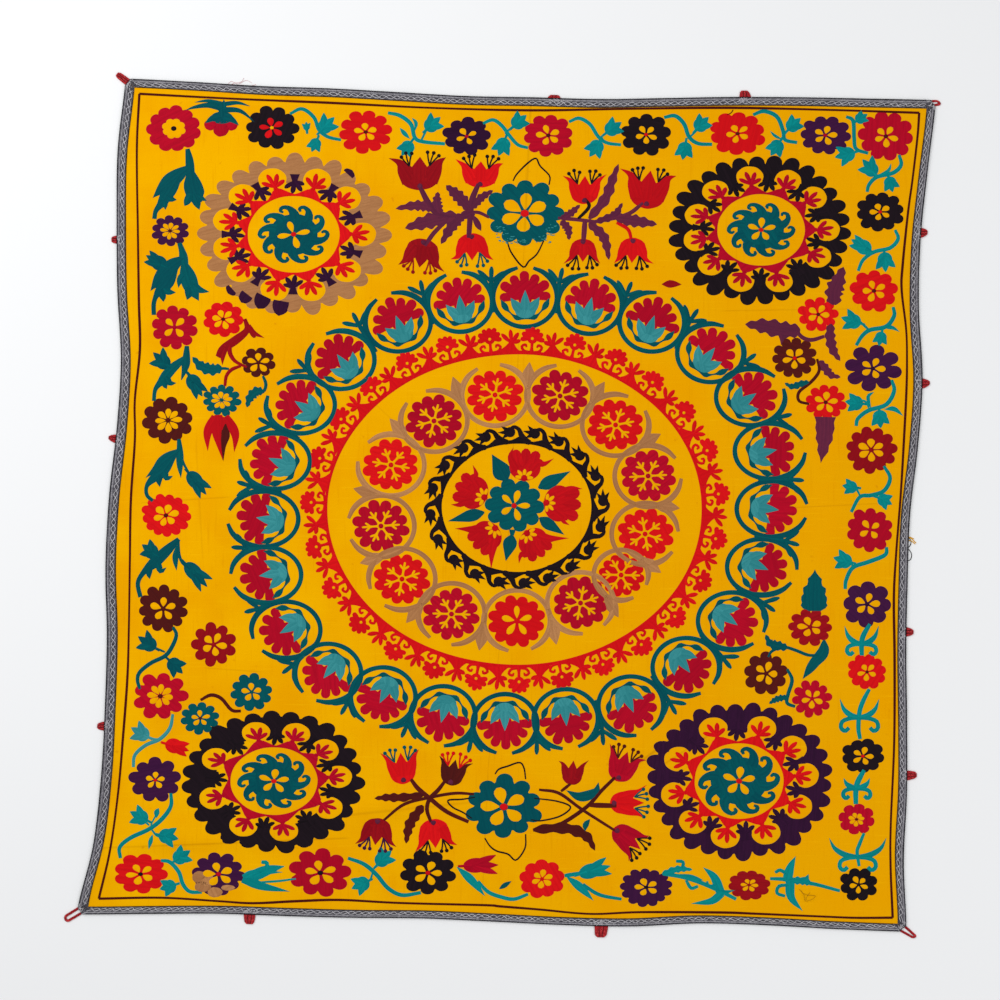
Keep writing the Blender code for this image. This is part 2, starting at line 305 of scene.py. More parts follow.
def ground_heights(points, inside):
    """The underside's height: over the braid's lower ply at the edges, then flat, with folds."""
    margin = 1.0 - smooth_steps(FLAT_MARGIN, FLAT_MARGIN + MARGIN_SLOPE, inside)
    folds = smooth_steps(FLAT_MARGIN, FLAT_MARGIN + FOLD_MARGIN + MARGIN_SLOPE, inside)
    uneven = np.array([noise.noise(Vector((x, y, 3.0)) / UNEVEN_SIZE) for x, y in points])
    wave = ridges(points, FOLDS) + ridges(points, FINE_FOLDS)
    return (BRAID_PLY + SEAT_GAP) * margin + (wave + UNEVEN_RISE * (0.5 + uneven)) * folds


def put(name, shape, materials, replaces=()):
    """A finished mesh as a piece of the cover, riding on its one body."""
    mesh = bpy.data.meshes.new(name)
    shape.to_mesh(mesh)
    shape.free()
    for material in materials:
        mesh.materials.append(material)
    mesh.shade_smooth()
    piece = bpy.data.objects.new(name, mesh)
    bpy.context.scene.collection.objects.link(piece)
    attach(piece, "root")
    if replaces:
        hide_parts(*replaces)
    return piece


def add(tree, kind, settings=None, **inputs):
    """A node with its settings and its inputs, each a value or another node's output."""
    made = tree.nodes.new(kind)
    for key, value in (settings or {}).items():
        setattr(made, key, value)
    for key, value in inputs.items():
        socket = made.inputs[int(key[1:]) if key[1:].isdigit() else key.replace("_", " ")]
        if isinstance(value, bpy.types.NodeSocket):
            tree.links.new(value, socket)
        else:
            socket.default_value = value
    return made


def mix_colours(tree, share, first, second, blend="MIX"):
    made = tree.nodes.new("ShaderNodeMix")
    made.data_type = "RGBA"
    made.blend_type = blend
    for number, value in ((0, share), (6, first), (7, second)):
        if isinstance(value, bpy.types.NodeSocket):
            tree.links.new(value, made.inputs[number])
        else:
            made.inputs[number].default_value = value
    return made.outputs[2]


def between(tree, value, low, high, to_low=0.0, to_high=1.0):
    """The value brought from one range to another, held at its ends."""
    made = add(tree, "ShaderNodeMapRange", {"interpolation_type": "SMOOTHSTEP"},
               _0=value, _1=low, _2=high, _3=to_low, _4=to_high)
    return made.outputs[0]


# Painted shade: along each storage crease the cotton's colour is darkened, standing in for the shade that
# falls in the crease.
CREASES = (
    # start and end by photo pixel, half width in metres, darkening of the painted crease shade
    ((531, 100), (524, 250), 0.0050, 0.27),
    ((524, 250), (507, 565), 0.0026, 0.20),
    ((507, 565), (488, 770), 0.0024, 0.19),
    ((488, 770), (482, 905), 0.0024, 0.20),
    ((720, 311), (853, 309), 0.0026, 0.22),
    ((140, 503), (232, 497), 0.0030, 0.20),
    ((786, 508), (890, 503), 0.0028, 0.20),
    ((205, 668), (262, 672), 0.0028, 0.20),
    ((98, 848), (350, 838), 0.0040, 0.26),
    ((345, 815), (492, 800), 0.0060, 0.20),
    ((255, 842), (300, 848), 0.0030, 0.17),
    ((633, 767), (700, 718), 0.0060, 0.36),
    ((655, 770), (712, 733), 0.0044, 0.26),
    ((340, 372), (398, 425), 0.0030, 0.14),
    ((196, 440), (203, 560), 0.0040, 0.14),
)


def ground_material():
    material, tree, shader = principled("yellow_cotton", srgb(238, 172, 0), 0.9)
    shader.inputs["Specular IOR Level"].default_value = 0.0
    place = add(tree, "ShaderNodeTexCoord").outputs["Object"]
    cloudy = add(tree, "ShaderNodeTexNoise", Vector=place, Scale=5.0, Detail=4.0).outputs[0]
    streaky = add(tree, "ShaderNodeMapping", Vector=place, Scale=(160.0, 9.0, 1.0)).outputs[0]
    slubs = add(tree, "ShaderNodeTexNoise", Vector=streaky, Scale=1.0, Detail=3.0).outputs[0]
    wefts = add(tree, "ShaderNodeMapping", Vector=place, Scale=(11.0, 190.0, 1.0)).outputs[0]
    weft_slubs = add(tree, "ShaderNodeTexNoise", Vector=wefts, Scale=1.0, Detail=3.0).outputs[0]
    # Painted light: the cotton's colour runs from lighter on the left to darker on the right, as if lit from
    # the left.
    east = add(tree, "ShaderNodeSeparateXYZ", Vector=place).outputs[0]
    colour = mix_colours(tree, between(tree, east, -1.0, 1.0), srgb(240, 175, 0), srgb(232, 164, 2))
    colour = mix_colours(tree, between(tree, cloudy, 0.35, 0.7), colour, srgb(233, 160, 0))
    colour = mix_colours(tree, between(tree, slubs, 0.55, 0.8, 0.0, 0.35), colour, srgb(214, 140, 0))
    colour = mix_colours(tree, between(tree, weft_slubs, 0.56, 0.8, 0.0, 0.3), colour, srgb(250, 190, 12))
    dirt = add(tree, "ShaderNodeTexNoise", Vector=place, Scale=38.0, Detail=2.0).outputs[0]
    colour = mix_colours(tree, between(tree, dirt, 0.70, 0.80, 0.0, 0.35), colour, srgb(190, 110, 10))
    # The painted crease shade: a mask that is strongest on each crease line and fades out to its half width.
    crease_shade_and_wear = None
    for start, end, half_width, dark in CREASES:
        near, far = at(*start), at(*end)
        way = (far - near).normalized()
        side = quarter_turned(way)
        wander = add(tree, "ShaderNodeVectorMath", {"operation": "SUBTRACT"},
                     _0=place, _1=(near.x, near.y, 0.0)).outputs[0]
        off = add(tree, "ShaderNodeVectorMath", {"operation": "DOT_PRODUCT"},
                  _0=wander, _1=(side.x, side.y, 0.0)).outputs[1]
        along = add(tree, "ShaderNodeVectorMath", {"operation": "DOT_PRODUCT"},
                    _0=wander, _1=(way.x, way.y, 0.0)).outputs[1]
        off = add(tree, "ShaderNodeMath", {"operation": "ABSOLUTE"}, _0=off).outputs[0]
        line = between(tree, off, 0.0, half_width, dark, 0.0)
        begun = between(tree, along, -0.01, 0.02)
        ended = between(tree, along, (far - near).length - 0.02, (far - near).length + 0.01, 1.0, 0.0)
        line = add(tree, "ShaderNodeMath", {"operation": "MULTIPLY"}, _0=line, _1=begun).outputs[0]
        line = add(tree, "ShaderNodeMath", {"operation": "MULTIPLY"}, _0=line, _1=ended).outputs[0]
        if crease_shade_and_wear is None:
            crease_shade_and_wear = line
        else:
            crease_shade_and_wear = add(tree, "ShaderNodeMath", {"operation": "MAXIMUM"}, _0=crease_shade_and_wear, _1=line).outputs[0]
    patchy = between(tree, cloudy, 0.3, 0.6, 0.6, 1.0)
    crease_shade_and_wear = add(tree, "ShaderNodeMath", {"operation": "MULTIPLY"}, _0=crease_shade_and_wear, _1=patchy).outputs[0]
    # Painted crease shade: the colour is mixed towards dark brown under the crease mask.
    colour = mix_colours(tree, crease_shade_and_wear, colour, srgb(150, 86, 8))
    tree.links.new(colour, shader.inputs["Base Color"])
    weave = add(tree, "ShaderNodeTexVoronoi", {"distance": "CHEBYCHEV"}, Vector=place,
                Scale=1400.0).outputs[0]
    height = add(tree, "ShaderNodeMath", {"operation": "MULTIPLY_ADD"}, _0=slubs, _1=0.6, _2=weave).outputs[0]
    height = add(tree, "ShaderNodeMath", {"operation": "MULTIPLY_ADD"}, _0=crease_shade_and_wear, _1=-6.0,
                 _2=height).outputs[0]
    bump = add(tree, "ShaderNodeBump", Strength=0.35, Distance=0.0006, Height=height)
    tree.links.new(bump.outputs[0], shader.inputs["Normal"])
    return material


YELLOW_COTTON = ground_material()
sheet_shape = bmesh.new()
bmesh.ops.create_grid(sheet_shape, x_segments=SHEET_CELLS, y_segments=SHEET_CELLS, size=0.5)
sheet_shape.verts.ensure_lookup_table()
stations = [(round((v.co.x + 0.5) * SHEET_CELLS), round((v.co.y + 0.5) * SHEET_CELLS))
            for v in sheet_shape.verts]
plan = np.array([cloth_plan(column, row)[:] for column, row in stations])
shares = np.array(stations) / SHEET_CELLS
inside = side_length(0) * np.minimum(shares, 1.0 - shares).min(axis=1)
for vertex, (x, y), height in zip(sheet_shape.verts, plan, ground_heights(plan, inside)):
    vertex.co = (x, y, height + CLOTH_THICKNESS)
cloth_top = BVHTree.FromBMesh(sheet_shape)
ground = put("ground_cotton", sheet_shape, [YELLOW_COTTON], ["ground_cloth"])
thickness = ground.modifiers.new("thickness", "SOLIDIFY")
thickness.thickness = CLOTH_THICKNESS
thickness.offset = -1.0


# The needlework: silk and cotton thread laid close over each drawn shape and couched down, so
# that a shape stands a little proud of the cotton. Yellow shapes within it are bare ground.
MM = 0.001
THREAD_RISE = 0.00055
LAYER_RISE = 0.00014
EDGE_SINK = 0.0002
STITCH_STEP = 0.0075
RING_STEP = 0.010
WIDE_BAND = 0.012
random.seed(11)

THREADS = {
    # name: base colour, darker streak colour, how strongly couching stitches dot it
    "scarlet": (srgb(222, 18, 22), srgb(184, 8, 18), 0.25),
    "madder": (srgb(200, 14, 24), srgb(160, 8, 20), 0.25),
    "crimson": (srgb(186, 8, 38), srgb(146, 4, 30), 0.25),
    "claret": (srgb(156, 14, 24), srgb(120, 8, 20), 0.25),
    "black": (srgb(17, 13, 17), srgb(34, 22, 30), 0.20),
    "aubergine": (srgb(52, 18, 50), srgb(34, 12, 36), 0.30),
    "violet": (srgb(66, 22, 62), srgb(46, 14, 50), 0.30),
    "plum": (srgb(104, 38, 62), srgb(74, 28, 54), 0.35),
    "brown": (srgb(88, 24, 20), srgb(62, 18, 18), 0.30),
    "teal": (srgb(0, 88, 92), srgb(0, 62, 74), 0.35),
    "turquoise": (srgb(4, 138, 138), srgb(0, 108, 112), 0.55),
    "pale_teal": (srgb(62, 146, 150), srgb(28, 112, 118), 0.75),
    "tan": (srgb(186, 132, 84), srgb(142, 92, 56), 0.9),
    "maroon": (srgb(84, 18, 14), srgb(58, 12, 12), 0.2),
    "ground": None,
}


def thread_material(name, base, streak, dotting):
    material, tree, shader = principled(name + "_thread", base, 0.62)
    laid = add(tree, "ShaderNodeUVMap", {"uv_map": "thread"}).outputs[0]
    fine = add(tree, "ShaderNodeMapping", Vector=laid, Scale=(60.0, 1100.0, 1.0)).outputs[0]
    strands = add(tree, "ShaderNodeTexNoise", Vector=fine, Scale=1.0, Detail=2.0).outputs[0]
    broad = add(tree, "ShaderNodeMapping", Vector=laid, Scale=(12.0, 170.0, 1.0)).outputs[0]
    skeins = add(tree, "ShaderNodeTexNoise", Vector=broad, Scale=1.0, Detail=3.0).outputs[0]
    tied = add(tree, "ShaderNodeMapping", Vector=laid, Scale=(330.0, 240.0, 1.0),
               Rotation=(0.0, 0.0, 0.35)).outputs[0]
    ties = add(tree, "ShaderNodeTexVoronoi", Vector=tied, Scale=1.0, Randomness=0.45).outputs[0]
    shade = add(tree, "ShaderNodeAttribute", {"attribute_name": "shade"}).outputs["Fac"]
    colour = mix_colours(tree, between(tree, skeins, 0.38, 0.68, 0.0, 0.45), base, streak)
    colour = mix_colours(tree, between(tree, strands, 0.4, 0.75, 0.0, 0.4), colour, streak)
    light = tuple(min(1.0, c * 1.35 + 0.02) for c in base[:3]) + (1.0,)
    colour = mix_colours(tree, between(tree, ties, 0.0, 0.4, dotting * 0.5, 0.0), colour, light)
    colour = mix_colours(tree, between(tree, shade, 0.0, 1.0, 0.0, 0.45), colour, streak)
    tree.links.new(colour, shader.inputs["Base Color"])
    height = add(tree, "ShaderNodeMath", {"operation": "MULTIPLY_ADD"}, _0=ties, _1=0.5,
                 _2=strands).outputs[0]
    bump = add(tree, "ShaderNodeBump", Strength=0.5, Distance=0.0005, Height=height)
    tree.links.new(bump.outputs[0], shader.inputs["Normal"])
    return material


THREAD_MATERIALS = {
    name: thread_material(name, *look) if look else YELLOW_COTTON for name, look in THREADS.items()
}
stitched = {}


def colour_shape(colour):
    """The shape that gathers this section's patches of one thread colour."""
    if colour not in stitched:
        stitched[colour] = bmesh.new()
        stitched[colour].loops.layers.uv.new("thread")
        stitched[colour].verts.layers.float.new("shade")
    return stitched[colour]


def sew_down(section):
    """Lays this section's patches on the cotton's folds, as one piece for each colour."""
    for colour, shape in sorted(stitched.items()):
        bmesh.ops.remove_doubles(shape, verts=shape.verts, dist=0.000002)
        for vertex in shape.verts:
            hit = cloth_top.ray_cast(Vector((vertex.co.x, vertex.co.y, 1.0)), Vector((0.0, 0.0, -1.0)))
            if hit[0] is not None:
                vertex.co.z += hit[0].z
        bmesh.ops.recalc_face_normals(shape, faces=shape.faces)
        up = sum(face.normal.z * face.calc_area() for face in shape.faces)
        if up < 0.0:
            bmesh.ops.reverse_faces(shape, faces=shape.faces)
        for face in shape.faces:
            if face.normal.z < 0.0:
                face.normal_flip()
        piece = put(section + "_" + colour, shape, [THREAD_MATERIALS[colour]])
    stitched.clear()


def placed(photo_x, photo_y, turn=0.0, across=1.0, up=None, mirror=1.0):
    """A motif's own plane: its centre on the cloth, its turn in degrees anticlockwise, and how
    many millimetres its unit measures across and up the cloth."""
    middle = at(photo_x, photo_y)
    cosine, sine = math.cos(math.radians(turn)), math.sin(math.radians(turn))
    wide, high = across * MM, (across if up is None else up) * MM

    def place(x, y):
        x = x * mirror
        return (middle.x + wide * (x * cosine - y * sine), middle.y + high * (x * sine + y * cosine))

    return place


def within(place, x, y, turn=0.0, size=1.0, mirror=1.0):
    """A smaller plane at (x, y) of another one, turned and sized in it."""
    cosine, sine = math.cos(math.radians(turn)), math.sin(math.radians(turn))

    def inner(px, py):
        px, py = mirror * px * size, py * size
        return place(x + px * cosine - py * sine, y + px * sine + py * cosine)

    return inner


def through(values, steps):
    """A smooth curve through the values (numbers or points), read at even steps."""
    values = [np.atleast_1d(np.asarray(value, float)) for value in values]
    read = []
    for step in range(steps + 1):
        place = step / steps * (len(values) - 1)
        first = min(int(place), len(values) - 2)
        part = place - first
        start, end = values[first], values[first + 1]
        before = values[first - 1] if first else 2 * start - end
        after = values[first + 2] if first + 2 < len(values) else 2 * end - start
        read.append(start + 0.5 * part * (
            end - before
            + part * (2 * before - 5 * start + 4 * end - after + part * (3 * (start - end) + after - before))
        ))
    return np.array(read)


def section_across(rows):
    """A band's section: its edges tucked down, and a nearly flat top between them."""
    crown = [(side, 1.12 - 0.12 * abs(side)) for side in np.linspace(-0.8, 0.8, rows - 1)]
    return [(-1.0, 0.0)] + crown + [(1.0, 0.0)]


def stroke(colour, place, spine, widths, level=0, steps=None):
    """A tapering band of thread along a smooth curve, with its half width at even steps."""
    rough = np.array([place(*point) for point in through(spine, 12)])
    length = np.linalg.norm(np.diff(rough, axis=0), axis=1).sum()
    steps = steps or max(6, 2 * len(spine), math.ceil(length / STITCH_STEP))
    line = through(spine, steps)
    halves = np.maximum(through(widths, steps)[:, 0], 0.0)
    way = np.gradient(line, axis=0)
    way /= np.maximum(np.linalg.norm(way, axis=1), 1e-9)[:, None]
    unit = length / np.linalg.norm(np.diff(line, axis=0), axis=1).sum()
    section = section_across(4 if halves.max() * unit < WIDE_BAND else 10)
    shape = colour_shape(colour)
    uv, shading = shape.loops.layers.uv["thread"], shape.verts.layers.float["shade"]
    made = bmesh.ops.create_grid(shape, x_segments=steps, y_segments=len(section) - 1, size=0.5)
    shade = random.random()
    rise = THREAD_RISE + LAYER_RISE * level
    laid = {}
    for vertex in made["verts"]:
        step = round((vertex.co.x + 0.5) * steps)
        side, lift = section[round((vertex.co.y + 0.5) * (len(section) - 1))]
        x, y = line[step] + np.array((-way[step][1], way[step][0])) * side * halves[step]
        x, y = place(x, y)
        laid[vertex] = (length * step / steps, side * halves[step] * unit)
        vertex.co = (x, y, -EDGE_SINK + (rise + EDGE_SINK) * lift)
        vertex[shading] = shade
    for vertex in made["verts"]:
        for loop in vertex.link_loops:
            loop[uv].uv = laid[vertex]


def polar(colour, place, rim, hub=None, level=0, segments=96, thread_turn=None):
    """A patch of laid thread inside the outline rim(angle), or between hub(angle) and rim."""
    shape = colour_shape(colour)
    uv, shading = shape.loops.layers.uv["thread"], shape.verts.layers.float["shade"]
    shade = random.random()
    lean = random.uniform(0.0, math.pi) if thread_turn is None else math.radians(thread_turn)
    rise = THREAD_RISE + LAYER_RISE * level
    made = []
    wide = rim(0.0) - (hub(0.0) if hub else 0.0)
    rings = math.ceil(math.dist(place(wide, 0.0), place(0.0, 0.0)) / RING_STEP)
    if hub is None:
        shares = [0.0] + [0.94 * (ring + 1) / rings for ring in range(rings)] + [1.0]
        lifts = [1.1] + [1.0] * rings + [0.0]
    else:
        shares = [0.0, 0.08] + [0.08 + 0.84 * (ring + 1) / rings for ring in range(rings)] + [1.0]
        lifts = [0.0] + [1.0] * (rings + 1) + [0.0]
    for number in range(len(shares) - 1):
        inner, outer = shares[number], shares[number + 1]
        if hub is None and number == 0:
            new = bmesh.ops.create_circle(shape, cap_ends=True, cap_tris=True, segments=segments,
                                          radius=outer)["verts"]
        else:
            # the base is the outer ring and the top the inner one, told apart by their height
            new = bmesh.ops.create_cone(shape, cap_ends=False, segments=segments, radius1=outer + 1.0,
                                        radius2=inner + 1.0, depth=2.0)["verts"]
        for vertex in new:
            radius = math.hypot(vertex.co.x, vertex.co.y)
            angle = math.atan2(vertex.co.y, vertex.co.x)
            if hub is None and number == 0:
                share, lift = (0.0, lifts[0]) if radius < outer / 2 else (outer, lifts[1])
            elif vertex.co.z < 0.0:
                share, lift = outer, lifts[number + 1]
            else:
                share, lift = inner, lifts[number]
            start = hub(angle) if hub else 0.0
            reach = start + (rim(angle) - start) * share
            x, y = place(reach * math.cos(angle), reach * math.sin(angle))
            vertex.co = (x, y, -EDGE_SINK + (rise + EDGE_SINK) * lift)
            vertex[shading] = shade
        made += new
    cosine, sine = math.cos(lean), math.sin(lean)
    for vertex in made:
        for loop in vertex.link_loops:
            x, y = vertex.co.x, vertex.co.y
            loop[uv].uv = (x * cosine + y * sine, y * cosine - x * sine)


def lobed(radius, lobes, notch, turn=0.0, unevenness=0.05, sharpness=2.0):
    """An outline of round lobes with notches between them, each lobe a little its own size."""
    sizes = [1.0 + random.uniform(-unevenness, unevenness) for _ in range(lobes)]
    swing = random.uniform(-0.15, 0.15) / lobes

    def outline(angle):
        share = ((angle - math.radians(turn)) / math.tau + swing) % 1.0 * lobes
        lobe = int(share) % lobes
        off = abs(2.0 * (share - int(share)) - 1.0)
        round_part = max(0.0, 1.0 - off**sharpness) ** 0.5
        size = sizes[lobe] * round_part + (1.0 - round_part) * (sizes[lobe] + sizes[lobe - 1]) / 2
        return radius * size * (1.0 - notch + notch * round_part)

    return outline


def even(radius):
    return lambda angle: radius


PETAL = (0.12, 0.55, 0.90, 1.05, 0.98, 0.35)
LEAF = (0.0, 0.62, 1.0, 0.92, 0.55, 0.0)
HORN = (1.0, 0.95, 0.75, 0.45, 0.0)
BUD = (0.0, 0.75, 1.0, 0.85, 0.0)


def scaled(widths, half_width):
    return [width * half_width for width in widths]


def petals(colour, place, count, start, end, half_width, turn=0.0, level=1, widths=PETAL):
    """Drop-shaped petals round a centre, with the broad end out."""
    for number in range(count):
        way = turn + 360.0 * number / count + random.uniform(-4.0, 4.0)
        long = end * random.uniform(0.92, 1.06)
        inner = within(place, 0.0, 0.0, way)
        stroke(colour, inner, [(start, 0.0), ((start + long) / 2, 0.0), (long, 0.0)],
               scaled(widths, half_width * random.uniform(0.9, 1.1)), level)


# The middle: a teal rosette with five leaves and five tulips round it, inside a thin black
# ring of scrolls. All of it is laid thread, and the tulips' hearts are left bare.
def spot(photo_x, photo_y, turn=0.0, squash=1.0, mirror=1.0):
    """A motif's plane whose unit is one pixel of the photograph."""
    return placed(photo_x, photo_y, turn, PIXEL / MM, PIXEL / MM * squash, mirror)


def bearing(start, end):
    """The direction from one photo pixel to another, in degrees anticlockwise from east."""
    return math.degrees(math.atan2(start[1] - end[1], end[0] - start[0]))


def oval(across, up, wobble=0.0):
    """An oval outline, a little unsteady where the hand was."""
    def outline(angle):
        plain = across * up / math.hypot(up * math.cos(angle), across * math.sin(angle))
        return plain * (1.0 + wobble * math.sin(5.0 * angle + across) * math.cos(2.0 * angle))
    return outline


def rim_point(outline, angle):
    return Vector((outline(angle) * math.cos(angle), outline(angle) * math.sin(angle)))


def on_rim(place, outline, angle, mirror=1.0, size=1.0):
    """A plane standing on an outline: its first axis runs clockwise and its second one out."""
    way = rim_point(outline, angle - 0.01) - rim_point(outline, angle + 0.01)
    middle = rim_point(outline, angle)
    return within(place, middle.x, middle.y, math.degrees(math.atan2(way.y, way.x)), size, mirror)


def spaced(outline, count, start=0.0):
    """The angles that part an outline into stretches of even length."""
    fine = np.linspace(0.0, math.tau, 721) + math.radians(start)
    points = np.array([rim_point(outline, angle)[:] for angle in fine])
    run = np.concatenate([[0.0], np.cumsum(np.linalg.norm(np.diff(points, axis=0), axis=1))])
    return [float(np.interp(run[-1] * number / count, run, fine)) for number in range(count)]


def rays(colour, place, start, half_width, leans, level=0, widths=PETAL):
    """Short petals from one point, given by how far each leans off straight out, and its length."""
    for lean, long in leans:
        stroke(colour, within(place, 0.0, 0.0, 90.0 + lean), [(start, 0.0), (long / 2, 0.0), (long, 0.0)],
               scaled(widths, half_width), level)


MIDDLE = (514.1, 505.7)
MIDDLE_PLANE = spot(*MIDDLE)
MIDDLE_LEAVES = (
    # turn of the foot and its distance, turn of the tip and its distance, half width
    (36.0, 30.0, 31.5, 66.0, 6.9),
    (106.0, 26.0, 113.4, 56.0, 9.6),
    (192.5, 30.5, 193.2, 68.0, 6.4),
    (266.0, 29.0, 261.4, 56.0, 7.2),
    (334.5, 28.0, 330.0, 58.0, 6.2),
)
MIDDLE_TULIPS = (
    # turn and distance of the foot, turn of the axis, height, left and right horn (across, up)
    (68.5, 27.0, 86.0, 32.0, (-13.0, 32.0), (28.0, 24.0)),
    (6.0, 30.0, -3.5, 37.0, (-16.0, 37.5), (21.0, 27.0)),
    (-66.0, 28.0, -54.0, 31.0, (-31.0, 31.0), (24.0, 22.0)),
    (-129.6, 27.0, -137.0, 31.5, (-27.0, 33.0), (27.0, 32.0)),
    (165.0, 28.5, 156.3, 34.0, (-20.0, 30.0), (25.0, 26.0)),
)
polar("teal", spot(*MIDDLE, 0.0, 0.9), lobed(30.0, 10, 0.27, 10.0), segments=120)
petals("ground", MIDDLE_PLANE, 5, 3.0, 15.5, 3.6, -2.0, 1)
polar("scarlet", MIDDLE_PLANE, even(2.7), level=2, segments=12)
for foot_turn, start, tip_turn, end, half_width in MIDDLE_LEAVES:
    foot, tip = math.radians(foot_turn), math.radians(tip_turn)
    root, point = (start * math.cos(foot), start * math.sin(foot)), (end * math.cos(tip), end * math.sin(tip))
    stroke("teal", MIDDLE_PLANE, [root, ((root[0] + point[0]) / 2, (root[1] + point[1]) / 2), point],
           scaled((0.15, 0.9, 1.0, 0.7, 0.35, 0.0), half_width))
stroke("teal", within(MIDDLE_PLANE, 0.0, 0.0, 266.0), [(24.0, 0.0), (32.0, 0.0)], (3.6, 2.4, 1.2))
for turn, foot, axis, high, left, right in MIDDLE_TULIPS:
    turn = math.radians(turn)
    tulip = within(MIDDLE_PLANE, foot * math.cos(turn), foot * math.sin(turn), axis - 90.0)
    polar("madder", within(tulip, 0.0, 0.40 * high), oval(0.50 * high, 0.41 * high), segments=48)
    for across in (-0.24, 0.0, 0.24):
        stroke("madder", within(tulip, across * high, 0.5 * high, 90.0 - 50.0 * across),
               [(0.0, 0.0), (0.25 * high, 0.0), (0.50 * high * (1.0 - abs(across) * 0.4), 0.0)],
               scaled(PETAL, 0.155 * high))
    for side, (across, up) in ((-1.0, left), (1.0, right)):
        stroke("madder", tulip, [(side * 7.0, 0.34 * high), (side * 12.5, 0.58 * high),
                                 (side * 12.0 + 0.25 * across, 0.75 * up), (across, up)],
               (6.5, 5.0, 2.6, 0.0))
    heart = within(tulip, 0.0, 2.5)
    rays("ground", heart, 2.0, 2.0, ((-84.0, 9.0), (-44.0, 10.0), (0.0, 9.0), (44.0, 10.0), (84.0, 9.0)), 1)
    polar("madder", heart, even(3.4), level=2, segments=14)
SCROLL_RING = spot(516.8, 507.6)
SCROLL_OUTLINE = oval(76.4, 65.6)
SCROLLS = 20
polar("black", SCROLL_RING, oval(78.2, 67.4, 0.005), oval(74.7, 64.0, 0.005), segments=160)
for angle in spaced(SCROLL_OUTLINE, SCROLLS, 88.0):
    foot = on_rim(SCROLL_RING, SCROLL_OUTLINE, angle, -1.0)
    stroke("black", foot, [(-11.0, -0.5), (-5.5, 2.2), (-2.0, 7.0), (0.5, 12.5), (5.5, 15.0), (10.0, 12.5)],
           (2.6, 3.6, 3.0, 2.2, 1.9, 1.2))
    stroke("black", foot, [(-11.0, 0.5), (-3.0, 3.0), (4.0, 1.4), (10.0, 0.2)], (0.3, 3.2, 2.0, 0.3))
    bud = within(foot, 9.2, 9.6, -60.0)
    polar("black", bud, even(5.3), segments=16)
    rays("black", bud, 1.5, 2.4, ((-70.0, 10.8), (-34.0, 12.4), (2.0, 11.0)), widths=(0.9, 1.0, 0.6, 0.0))
sew_down("middle")


# The inner chain: thirteen tan rings, each round a red rosette with branching bare veins. A
# pointed tan bud stands at each meeting of two rings, which taper to horns on their outer side.
INNER_CHAIN = (
    # photo x and y of the ring, its rosette's colour, its size
    (495, 395, "scarlet", 1.0), (560, 396, "crimson", 1.0), (615.5, 425, "scarlet", 1.0),
    (648, 476, "crimson", 1.0), (645, 534, "scarlet", 1.0), (621, 575, "scarlet", 0.82),
    (580.5, 603, "crimson", 1.0), (517, 621, "scarlet", 1.0), (451.5, 614, "crimson", 1.0),
    (402, 579, "scarlet", 1.0), (381, 526, "crimson", 1.0), (391, 465, "scarlet", 1.0),
    (434, 421, "crimson", 1.0),
)
PLAIN_ROSETTE = 7


def open_ring(colour, place, across, up, half_width, turn, gap):
    """A ring of thread with tapering ends, which leave a gap where it is turned to."""
    angles = [math.radians(turn + gap + (360.0 - 2.0 * gap) * step / 16) for step in range(17)]
    stroke(colour, place, [(across * math.cos(angle), up * math.sin(angle)) for angle in angles],
           scaled((0.7, 1.15, 1.2, 1.1, 1.0, 0.95, 1.0, 0.95, 1.0, 1.1, 1.2, 1.15, 0.7), half_width),
           steps=60)


def neighbours(rows):
    """Each place with the direction out of its chain, and the meeting place with the next one."""
    places = [row[:2] for row in rows]
    for number, place in enumerate(places):
        before, after = places[number - 1], places[(number + 1) % len(places)]
        meeting = ((place[0] + after[0]) / 2, (place[1] + after[1]) / 2)
        yield place, bearing(before, after) + 90.0, meeting, bearing(place, after) + 90.0


for number, (place, turn, meeting, out) in enumerate(neighbours(INNER_CHAIN)):
    colour, size = INNER_CHAIN[number][2:]
    plane = spot(*place)
    open_ring("tan", plane, 33.4 * size, 30.8 * size, 2.55, turn, 20.0)
    polar(colour, spot(*place, 0.0, 0.92), lobed(28.8 * size, 12, 0.27), segments=144)
    if number == PLAIN_ROSETTE:
        petals("ground", plane, 5, 3.0, 15.5, 3.4, 20.0)
    else:
        polar("ground", plane, even(4.2), level=1, segments=16)
        polar(colour, plane, even(2.7), level=2, segments=12)
        lean = random.uniform(0.0, 60.0)
        for vein in range(6):
            ray = within(spot(*place, 0.0, 0.9), 0.0, 0.0, lean + 60.0 * vein)
            stroke("ground", ray, [(3.6, 0.0), (7.0, 0.0), (13.0, 0.0)], (1.7, 1.3, 1.6), 1)
            rays("ground", within(ray, 10.5, 0.0, -90.0), 0.0, 1.4,
                 ((-44.0, 6.6), (0.0, 8.4), (44.0, 6.6)), 1, (0.8, 0.9, 1.0, 0.7))
            polar("ground", within(ray, 10.0, 0.0), even(1.6), level=1, segments=8)
    bud = spot(*meeting, out - 90.0)
    stroke("tan", bud, [(0.0, -11.0), (0.0, 0.0), (0.0, 8.0), (0.0, 16.0)], (0.8, 2.6, 3.2, 3.2))
    stroke("tan", bud, [(0.0, 8.0), (0.5, 20.0), (1.5, 33.0)], (2.4, 4.6, 6.6, 6.2, 3.6, 0.4))
sew_down("inner_chain")


# The frieze: a scarlet ring with small peaks that carry sprigs in turn with carnations. It is one
# thin line of couching between its figures.
def fan(radius, lobes, spread, foot):
    """Half a rosette: lobes over the outer side only, and a small foot behind them."""
    sizes = [1.0 + random.uniform(-0.06, 0.06) for _ in range(lobes)]

    def outline(angle):
        off = (math.degrees(angle) - 90.0 + 180.0) % 360.0 - 180.0
        share = (off + spread) / (2.0 * spread) * lobes
        if not 0.0 <= share < lobes:
            return foot
        across = abs(2.0 * (share % 1.0) - 1.0)
        return radius * sizes[int(share)] * (0.68 + 0.32 * max(0.0, 1.0 - across**2.2) ** 0.5)

    return outline


